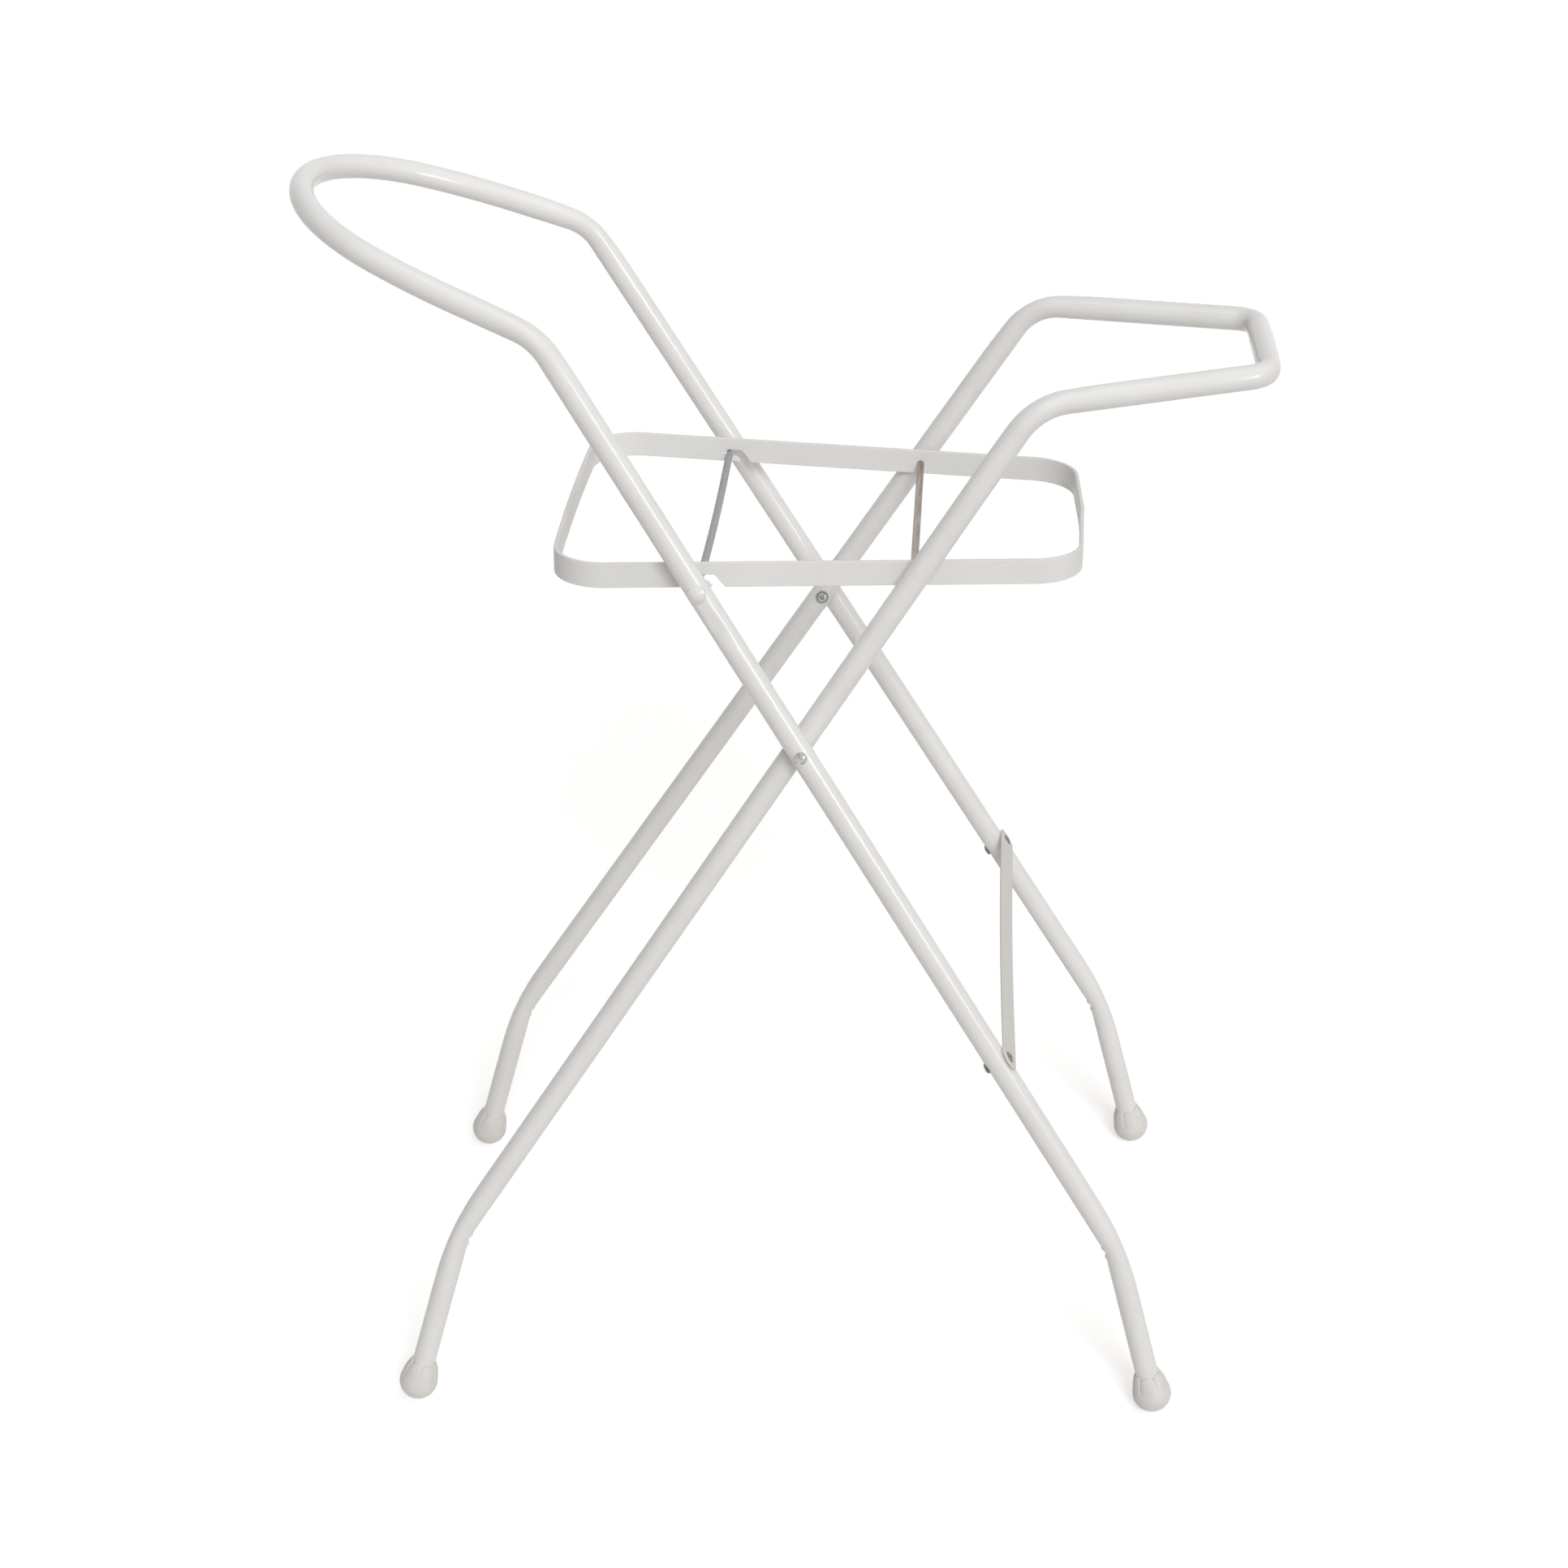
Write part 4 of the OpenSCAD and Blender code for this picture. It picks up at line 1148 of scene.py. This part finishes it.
class BATHSTAND_OT_axle(bpy.types.Operator):
    """Makes the ring's axle and the bushes that keep the ring off the tubes"""
    bl_idname = "bathstand.axle"
    bl_label = "Axle and bushes"

    def execute(self, context):
        stand = layout()
        ring = stand.ring
        steel, white = drawn_steel(stand.colours), nylon(stand.colours)
        reach = stand.axle.y + stand.tube_r - 2 * MM
        chamfer = 0.4 * MM
        rows = [Station(Vector((stand.axle.x, y, stand.axle.z)), None, Vector((0, 0, 1)))
                for y in (-reach, -reach + chamfer, *np.linspace(-0.9, 0.9, 19) * reach,
                          reach - chamfer, reach)]
        slim = 0.85  # the bar's ends, as a share of its diameter
        girth = [slim] + [1] * (len(rows) - 2) + [slim]
        bar = baked(spine_mesh(rows, girth=girth), steel, tube_tree(),
                    {"Radius": ring.axle / 2, "Sides": TUBE_SIDES})
        piece("axle_bar", outward(bar, math.radians(40)), "inner_frame", ["ring_axle"],
              "bare_steel")
        near = stand.ring_half + ring.bush / 2 * math.tan(ring.taper) + 0.3 * MM
        wide, bore, soft = ring.bush / 2, ring.axle / 2 + 0.05 * MM, 0.5 * MM
        deep = stand.axle.y - stand.tube_r + 3 * MM - near
        sink, mouth = 3 * MM, ring.axle_hole / 2 + 0.2 * MM  # a dark gap round the axle
        profile = ([(bore, deep), (bore, sink), (mouth, sink), (mouth, 0)]
                   + arc(wide - soft, soft, soft, -90, 0, 5)
                   + [(wide, deep), (bore, deep)])
        bush = turned(profile, to_y(Vector((stand.axle.x, near, stand.axle.z))))
        pair("axle_bushes", bush, white, 50, "inner_frame",
             ["axle_bush_front", "axle_bush_back"], "white_plastic")
        return {"FINISHED"}


class BATHSTAND_OT_rod(bpy.types.Operator):
    """Makes the sagging locking rod, the sleeve on it and the painted domes over its ends"""
    bl_idname = "bathstand.rod"
    bl_label = "Locking rod"

    def execute(self, context):
        stand = layout()
        fixings, ring = stand.fixings, stand.ring
        end = stand.rod.y + stand.tube_r + fixings.rod_in_cap
        half_there = stand.ring_half - stand.rod_in_ring.x * math.tan(ring.taper)
        bend = half_there - ring.strip_t - fixings.rod_straight
        drop, middle_r = bow(bend, fixings.rod_sag)
        end_bend, run_step, bend_step = 250 * MM, 8 * MM, 5 * MM

        def at(y, z):
            return Vector((stand.rod.x, y, stand.rod.z + z))

        rows = spine([at(-end, 0), at(-bend, 0), at(0, -drop), at(bend, 0), at(end, 0)],
                     [0, end_bend, middle_r, end_bend, 0], run_step, bend_step)
        rod = baked(spine_mesh(rows), drawn_zinc(stand.colours), tube_tree(),
                    {"Radius": fixings.rod / 2, "Sides": ROD_SIDES})
        piece("hook_rod", outward(rod, math.radians(40)), "outer_frame", ["locking_rod"],
              "bare_steel")
        half = fixings.sleeve_l / 2
        low = -drop * (bend - half) / bend
        rows = spine([at(-half, low), at(0, -drop), at(half, low)], [0, middle_r, 0],
                     run_step, bend_step)
        # each end rounds over and closes on the rod: stations all but in one place, thinner
        # towards the end
        lip, rim, soft, apart = fixings.rod / fixings.sleeve, 0.94, 0.25 * MM, 0.001 * MM
        first, last = rows[0], rows[-1]
        rows = [first, first, first._replace(place=first.place + first.way * soft), *rows[1:-1],
                last._replace(place=last.place - last.way * soft), last, last]
        girth = [lip, rim] + [1] * (len(rows) - 4) + [rim, lip]
        rows = [row._replace(place=row.place + row.way * apart * n)
                for n, row in enumerate(rows)]
        sleeve = baked(spine_mesh(rows, girth=girth), grey_sleeve(stand.colours), tube_tree(),
                       {"Radius": fixings.sleeve / 2, "Sides": ROD_SIDES})
        piece("grey_sleeve", outward(sleeve, math.radians(60)), "outer_frame",
              ["rod_sleeve"], "grey_sleeve")
        face = Vector((stand.rod.x, stand.rod.y + stand.tube_r, stand.rod.z))
        cap = turned(dome(fixings.cap / 2, fixings.cap_rise, -7 * MM, 0.9 * MM), to_y(face))
        pair("rod_end_domes", cap, tube_coat(stand.colours), 60, "outer_frame",
             ["rod_cap_front", "rod_cap_back"], "coated_cap")
        return {"FINISHED"}


class BATHSTAND_OT_pivots(bpy.types.Operator):
    """Makes the pivot rivets with their rolled tails, the spacers and the washers"""
    bl_idname = "bathstand.pivots"
    bl_label = "Pivots"

    def execute(self, context):
        stand = layout()
        fixings = stand.fixings
        shiny, grey, white = (finish(stand.colours) for finish in (bright_zinc, dull_zinc, nylon))

        def room(radius):
            """The inner tubes lean over, so a flat face this wide stands this far off them."""
            return (0.3 * MM + radius * math.tan(stand.frames.inner_splay)
                    + stand.tube_r * (1 / math.cos(stand.frames.inner_splay) - 1))

        washer_face = stand.inner_half - stand.tube_r - room(fixings.washer / 2)
        roll = washer_face - fixings.washer_t
        shank = fixings.rivet / 2
        tail_r = shank + fixings.tail_roll
        hole = fixings.tail_hole / 2
        out = stand.frames.outer_half + stand.tube_r
        lip = (tail_r - hole) / 2
        # heights are Y: the hollow tail's floor and bore, its rolled lip, the shank, the head
        tail = ([(0, roll + 3 * MM), (hole, roll + 3 * MM)]
                + arc(hole + lip, roll - fixings.tail_rise + lip * 0.8, lip, 180, 360, 12)
                + [(tail_r, roll - 0.05 * MM), (shank, roll - 0.05 * MM)])
        curve = stand.tube_r - math.sqrt(stand.tube_r ** 2 - fixings.head ** 2 / 4)
        seat = out - curve - 0.5 * MM
        top = [(radius, height + out) for radius, height
               in dome(fixings.head / 2, fixings.head_rise, seat - out, 0.5 * MM)[1:]]
        crossing = to_y(Vector((stand.pivot.x, 0, stand.pivot.z)))
        rivet = turned(tail + [(shank, seat)] + top, crossing)
        pair("crossing_rivets", rivet, shiny, 55, "outer_frame",
             ["pivot_rivet_front", "pivot_rivet_back"], "plated_rivet")

        def ring_profile(inside, outside, low, high, soft):
            return ([(inside, high), (inside, low)]
                    + arc(outside - soft, low + soft, soft, -90, 0, 4)
                    + arc(outside - soft, high - soft, soft, 0, 90, 4) + [(inside, high)])

        bore = shank + 0.05 * MM
        washer = turned(ring_profile(bore, fixings.washer / 2, roll, washer_face, 0.25 * MM),
                        crossing)
        pair("tail_washers", washer, grey, 50, "outer_frame",
             ["rivet_washer_front", "rivet_washer_back"], "grey_washer")
        # the spacer sinks a little into the outer tube's round side, so that no gap shows
        spacer = turned(ring_profile(bore, fixings.spacer / 2,
                                     stand.inner_half + stand.tube_r + room(fixings.spacer / 2),
                                     stand.frames.outer_half - stand.tube_r + 3 * MM,
                                     0.4 * MM), crossing)
        pair("crossing_spacers", spacer, white, 50, "outer_frame",
             ["pivot_spacer_front", "pivot_spacer_back"], "white_plastic")
        return {"FINISHED"}


class BATHSTAND_OT_brace(bpy.types.Operator):
    """Makes the bowed strap between the outer legs and the hollow rivets that hold it"""
    bl_idname = "bathstand.brace"
    bl_label = "Leg brace"

    def execute(self, context):
        stand = layout()
        fixings = stand.fixings
        half, seat = stand.brace.y, stand.tube_r + fixings.brace_t / 2
        bend, end = half - fixings.brace_tab, half + fixings.brace_tab
        drop, middle_r = bow(bend, fixings.brace_bow)
        wide = fixings.brace_w / 2
        end_bend = 60 * MM
        rows = spine([Vector((0, y, z)) for y, z in (
            (-end, seat), (-bend, seat), (0, seat - drop), (bend, seat), (end, seat))],
            [0, end_bend, middle_r, end_bend, 0], STRAIGHT, 2.5 * MM)[1:-1]
        out = Vector((wide, 0, 0))
        widths = [(row.place - out, row.place + out) for row in rows]
        arc_at = end - fixings.brace_end
        corner = math.acos(wide / fixings.brace_end)
        tip = [(fixings.brace_end * math.cos(phi), arc_at + fixings.brace_end * math.sin(phi))
               for phi in np.linspace(corner, math.pi - corner, 15)]
        panels = []
        for flip, row in ((1, rows[-1]), (-1, rows[0])):
            root = abs(row.place.y)
            outline = rounded([(-wide, root), (wide, root), *tip],
                              [0, 0, 1 * MM, *[0] * 13, 1 * MM], 3)
            panels.append(([(px, py * flip) for px, py in outline], [],
                           Matrix.Translation((0, 0, seat))))
        sheet = flat_sheet([(i, i + 1) for i in range(len(rows) - 1)], widths, panels)
        mesh = pressed_strip(sheet, fixings.brace_t, 0.4 * MM, strap_coat(stand.colours))
        mesh.transform(stand.brace_place)
        piece("leg_strap", mesh, "outer_frame", ["leg_brace"], "coated_strip")
        rolled = brown_steel(stand.colours)
        top, low = stand.tube_r + fixings.brace_t, -stand.tube_r
        hole, rim = fixings.flange_hole / 2, fixings.flange / 2
        lip = 0.45 * MM
        profile = ([(0, low - 0.9 * MM), (hole, low - 0.9 * MM)]
                   + arc(hole + lip, low - fixings.flange_t - 0.1 * MM, lip, 180, 270, 4)
                   + arc(rim - 1.4 * MM, low - 0.35 * MM, 1.4 * MM, 270, 360, 6)
                   + [(rim, low + 0.4 * MM), (2.5 * MM, low + 0.4 * MM),
                      (2.5 * MM, top - 0.2 * MM), (rim - 0.2 * MM, top - 0.1 * MM)]
                   + arc(rim - 0.6 * MM, top + 0.35 * MM, 0.5 * MM, -60, 90, 5)
                   + [(hole + 1.5 * MM, top + fixings.flange_t * 0.72)]
                   + arc(hole + 0.6 * MM, top + fixings.flange_t - 0.5 * MM, 0.6 * MM, 70, 180, 6)
                   + [(hole, top - 3 * MM), (0, top - 3 * MM)])
        place = stand.brace_place @ Matrix.Translation((0, half, 0))
        pair("strap_rivets", turned(profile, place, sides=40), rolled, 50, "outer_frame",
             ["brace_rivet_front", "brace_rivet_back"], "plated_rivet")
        return {"FINISHED"}


class BATHSTAND_OT_feet(bpy.types.Operator):
    """Makes the four soft ball feet, whose petals grip the tubes"""
    bl_idname = "bathstand.feet"
    bl_label = "Feet"

    def execute(self, context):
        stand = layout()
        soft = soft_pvc(stand.colours)
        whole = baked(self.petal(stand), soft, petals_tree(), {"Petals": stand.feet.petals})
        feet = stand.feet
        for name, body, side, turns, nodes in (
                ("outer_feet", "outer_frame", stand.outer_side, (feet.outer_front, feet.outer_back),
                 ["foot_outer_front", "foot_outer_back"]),
                ("inner_feet", "inner_frame", stand.inner_side, (feet.inner_front, feet.inner_back),
                 ["foot_inner_front", "foot_inner_back"])):
            both = []
            for there, turn in zip((across, Vector), turns):
                sole, knee = there(side[0]), there(side[1])
                up = unit(knee - sole)
                x_way = unit(Vector((0, 1, 0)).cross(up))
                foot = whole.copy()
                foot.transform(Matrix.Translation(sole)
                               @ Matrix((x_way, up.cross(x_way), up)).transposed().to_4x4()
                               @ Matrix.Rotation(turn, 4, "Z"))
                for v in foot.vertices:
                    v.co.z = max(v.co.z, 0)
                both.append(foot)
            piece(name, outward(joined(both, name)), body, nodes, "soft_foot")
        return {"FINISHED"}

    @staticmethod
    def petal(stand):
        """One petal and its slice of the ball, about the foot's own axis, which is Z."""
        feet = stand.feet
        ball, tube_r = feet.ball / 2, stand.tube_r
        half_turn = math.pi / feet.petals
        tip_r = tube_r + feet.petal_tip
        lean = math.atan2(feet.petal_h, tip_r) - math.acos(ball / math.hypot(tip_r, feet.petal_h))
        touch = Vector((ball * math.cos(lean), ball * math.sin(lean)))
        # columns crowd towards the slits at both sides
        off = [0, 0.25, 0.42, 0.6, 0.85, 1.2, 1.8, 2.6, 3.6, 4.7]
        steps = [o * MM / tip_r for o in off if o * MM / tip_r < half_turn * 0.93]
        columns = ([-half_turn + s for s in steps] + [0]
                   + [half_turn - s for s in reversed(steps)])
        line_at, line_width = -3.2 * MM, 0.45 * MM  # the mould line's height, and its width
        ball_steps, petal_steps, tip_steps = 19, 16, 5

        def ease(a, b, v):
            t = min(1, max(0, (v - a) / (b - a)))
            return t * t * (3 - 2 * t)

        def on_ball(z):
            rise = feet.mould_line * math.exp(-((z - line_at) / line_width) ** 2)
            return math.sqrt(max(0, ball * ball - z * z)) + rise, z

        ball_rows = []
        for n in range(ball_steps + 1):  # the ball, from its pole to the petals' root
            z = ball * math.sin(-math.pi / 2 + (lean + math.pi / 2) * n / ball_steps)
            ball_rows.append(on_ball(z))
            if abs(z - line_at) < 1.2 * MM:
                ball_rows.append(on_ball(z + 0.8 * MM))  # finer at the mould line
        root_z = ball_rows[-1][1]

        points = []
        for phi in columns:
            from_slit = (half_turn - abs(phi)) * tip_r
            across_share = abs(phi) / half_turn
            top = feet.petal_h - feet.valley * across_share ** 2.2
            column = list(ball_rows)
            for n in range(1, petal_steps + 1):  # bulging a little past the straight cone
                z = root_z + (top - root_z) * n / petal_steps
                climb = (z - touch.y) / (feet.petal_h - touch.y)
                straight = touch.x + (tip_r - touch.x) * climb
                bulge = 0.9 * MM * math.sin(math.pi * min(1, climb)) ** 1.2
                apart = ease(5.5 * MM, 10 * MM, z)  # the petals part from each other here
                crown = feet.crown * across_share ** 2.6 * apart
                groove = feet.groove * (1 - ease(0, feet.slit, from_slit)) * apart
                column.append((straight + bulge - crown - groove, z))
            last_r, last_z = column[-1]
            span = last_r - tube_r + 0.3 * MM
            for n in range(1, tip_steps + 1):  # the rounded tip, in to the tube
                a = math.pi / 2 * n / tip_steps
                column.append((last_r - span * (1 - math.cos(a)),
                               last_z + 0.45 * MM * math.sin(2 * a)))
            column += [(tube_r - 0.6 * MM, 8 * MM), (0, 8 * MM)]
            points += [(r * math.cos(phi), r * math.sin(phi), z) for r, z in column]
        tall = len(column)
        faces = [(a, a + tall, a + tall + 1, a + 1) for a in range(len(points) - tall)
                 if (a + 1) % tall]
        mesh = bpy.data.meshes.new("petal")
        mesh.from_pydata(points, [], faces)
        shape = bmesh.new()
        shape.from_mesh(mesh)
        bmesh.ops.remove_doubles(shape, verts=shape.verts, dist=0.001 * MM)
        shape.to_mesh(mesh)
        shape.free()
        return mesh


class BATHSTAND_OT_stage(bpy.types.Operator):
    """Sets the pale floor, the soft studio light and the camera at the photograph's angle"""
    bl_idname = "bathstand.stage"
    bl_label = "Stage, light and camera"

    def execute(self, context):
        scene = context.scene
        colours = scene.stand_finishes
        mesh = bpy.data.meshes.new("floor")
        far = 14  # metres to each edge of the floor
        mesh.from_pydata([(-far, -far, 0), (far, -far, 0), (far, far, 0), (-far, far, 0)], [],
                         [(0, 1, 2, 3)])
        mesh.materials.append(studio_floor(colours))
        floor = bpy.data.objects.new("floor", mesh)
        scene.collection.objects.link(floor)
        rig.stage(floor)

        world = bpy.data.worlds.new("studio")
        scene.world = world
        world.use_nodes = True
        tree = world.node_tree
        tree.nodes.clear()
        # the room is dimmer on the round head's side, which shades the tubes' left edges
        way = add(tree, "ShaderNodeTexCoord").outputs["Generated"]
        way = add(tree, "ShaderNodeSeparateXYZ", {0: way}).outputs["X"]
        level = add(tree, "ShaderNodeMapRange", {"Value": way, "From Min": -1.0,
                                                 "To Min": 0.13, "To Max": 0.58}).outputs[0]
        room = add(tree, "ShaderNodeBackground", {"Color": linear("#FFFBF7"),
                                                  "Strength": level}).outputs[0]
        white = add(tree, "ShaderNodeBackground", {"Color": WHITE, "Strength": 1.0}).outputs[0]
        shown = add(tree, "ShaderNodeMixShader", {0: seen(tree), 1: room, 2: white}).outputs[0]
        add(tree, "ShaderNodeOutputWorld", {"Surface": shown})

        # a broad key from the right front, a window that shows only as a line in the gloss, and
        # a soft panel overhead; a sun's size is in degrees, and the panel's in metres
        middle, away = Vector((0, 0, 0.6)), 1.75
        for name, kind, energy, size, azimuth, elevation in (
                ("key", "SUN", 1.43, 22, -74, 32), ("window", "SUN", 0.5, 18, -36, 10),
                ("overhead", "AREA", 4.8, 1.3, -60, 75)):
            lamp = bpy.data.lights.new(name, kind)
            lamp.energy = energy
            lamp.color = linear("#F9FCFF")[:3]
            made = bpy.data.objects.new(name, lamp)
            azimuth, elevation = math.radians(azimuth), math.radians(elevation)
            toward = Vector((math.cos(azimuth), math.sin(azimuth), math.tan(elevation)))
            if kind == "SUN":
                lamp.angle = math.radians(size)
            else:
                lamp.size = size
                made.location = middle + unit(toward) * away
            made.rotation_euler = toward.to_track_quat("Z", "Y").to_euler()
            made.visible_diffuse = name != "window"
            made.visible_glossy = name != "key"
            scene.collection.objects.link(made)

        camera = bpy.data.cameras.new("camera")
        camera.lens = 69.28
        camera.sensor_width = 36
        made = bpy.data.objects.new("camera", camera)
        made.location = (0.1614, -2.2707, 1.5573)
        # degrees: up from straight down, the photograph's slant, and round from the front
        made.rotation_euler = [math.radians(turn) for turn in (64.6110, 2.0102, 3.5319)]
        scene.collection.objects.link(made)
        scene.camera = made
        scene.view_settings.view_transform = "Standard"
        return {"FINISHED"}


class BATHSTAND_PT_panel(bpy.types.Panel):
    """Lists the stand's sizes, colours and pieces"""
    bl_idname = "BATHSTAND_PT_panel"
    bl_label = "Bath stand"
    bl_space_type = "VIEW_3D"
    bl_region_type = "UI"
    bl_category = "Bath stand"

    def draw(self, context):
        for operator in OPERATORS:
            self.layout.operator(operator.bl_idname)
        for name, group in GROUPS.items():
            box = self.layout.box()
            box.label(text=group.__doc__)
            for size in group.__annotations__:
                box.prop(getattr(context.scene, name), size)


OPERATORS = (BATHSTAND_OT_tubes, BATHSTAND_OT_ring, BATHSTAND_OT_axle, BATHSTAND_OT_rod,
             BATHSTAND_OT_pivots, BATHSTAND_OT_brace, BATHSTAND_OT_feet, BATHSTAND_OT_stage)


def register():
    for group in (*GROUPS.values(), *OPERATORS, BATHSTAND_PT_panel):
        bpy.utils.register_class(group)
    for name, group in GROUPS.items():
        setattr(bpy.types.Scene, name, PointerProperty(type=group))


def unregister():
    for name in GROUPS:
        delattr(bpy.types.Scene, name)
    for group in reversed((*GROUPS.values(), *OPERATORS, BATHSTAND_PT_panel)):
        bpy.utils.unregister_class(group)


def main():
    """Builds the stand and its stage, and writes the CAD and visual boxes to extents.json."""
    register()
    for operator in OPERATORS:
        group, name = operator.bl_idname.split(".")
        getattr(getattr(bpy.ops, group), name)()
    visual_box = [list(corner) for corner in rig.bounds()]
    with open("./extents.json", "w") as sizes:
        json.dump({"cad": CAD_BOX, "visual": visual_box}, sizes)


if __name__ == "__main__":
    main()
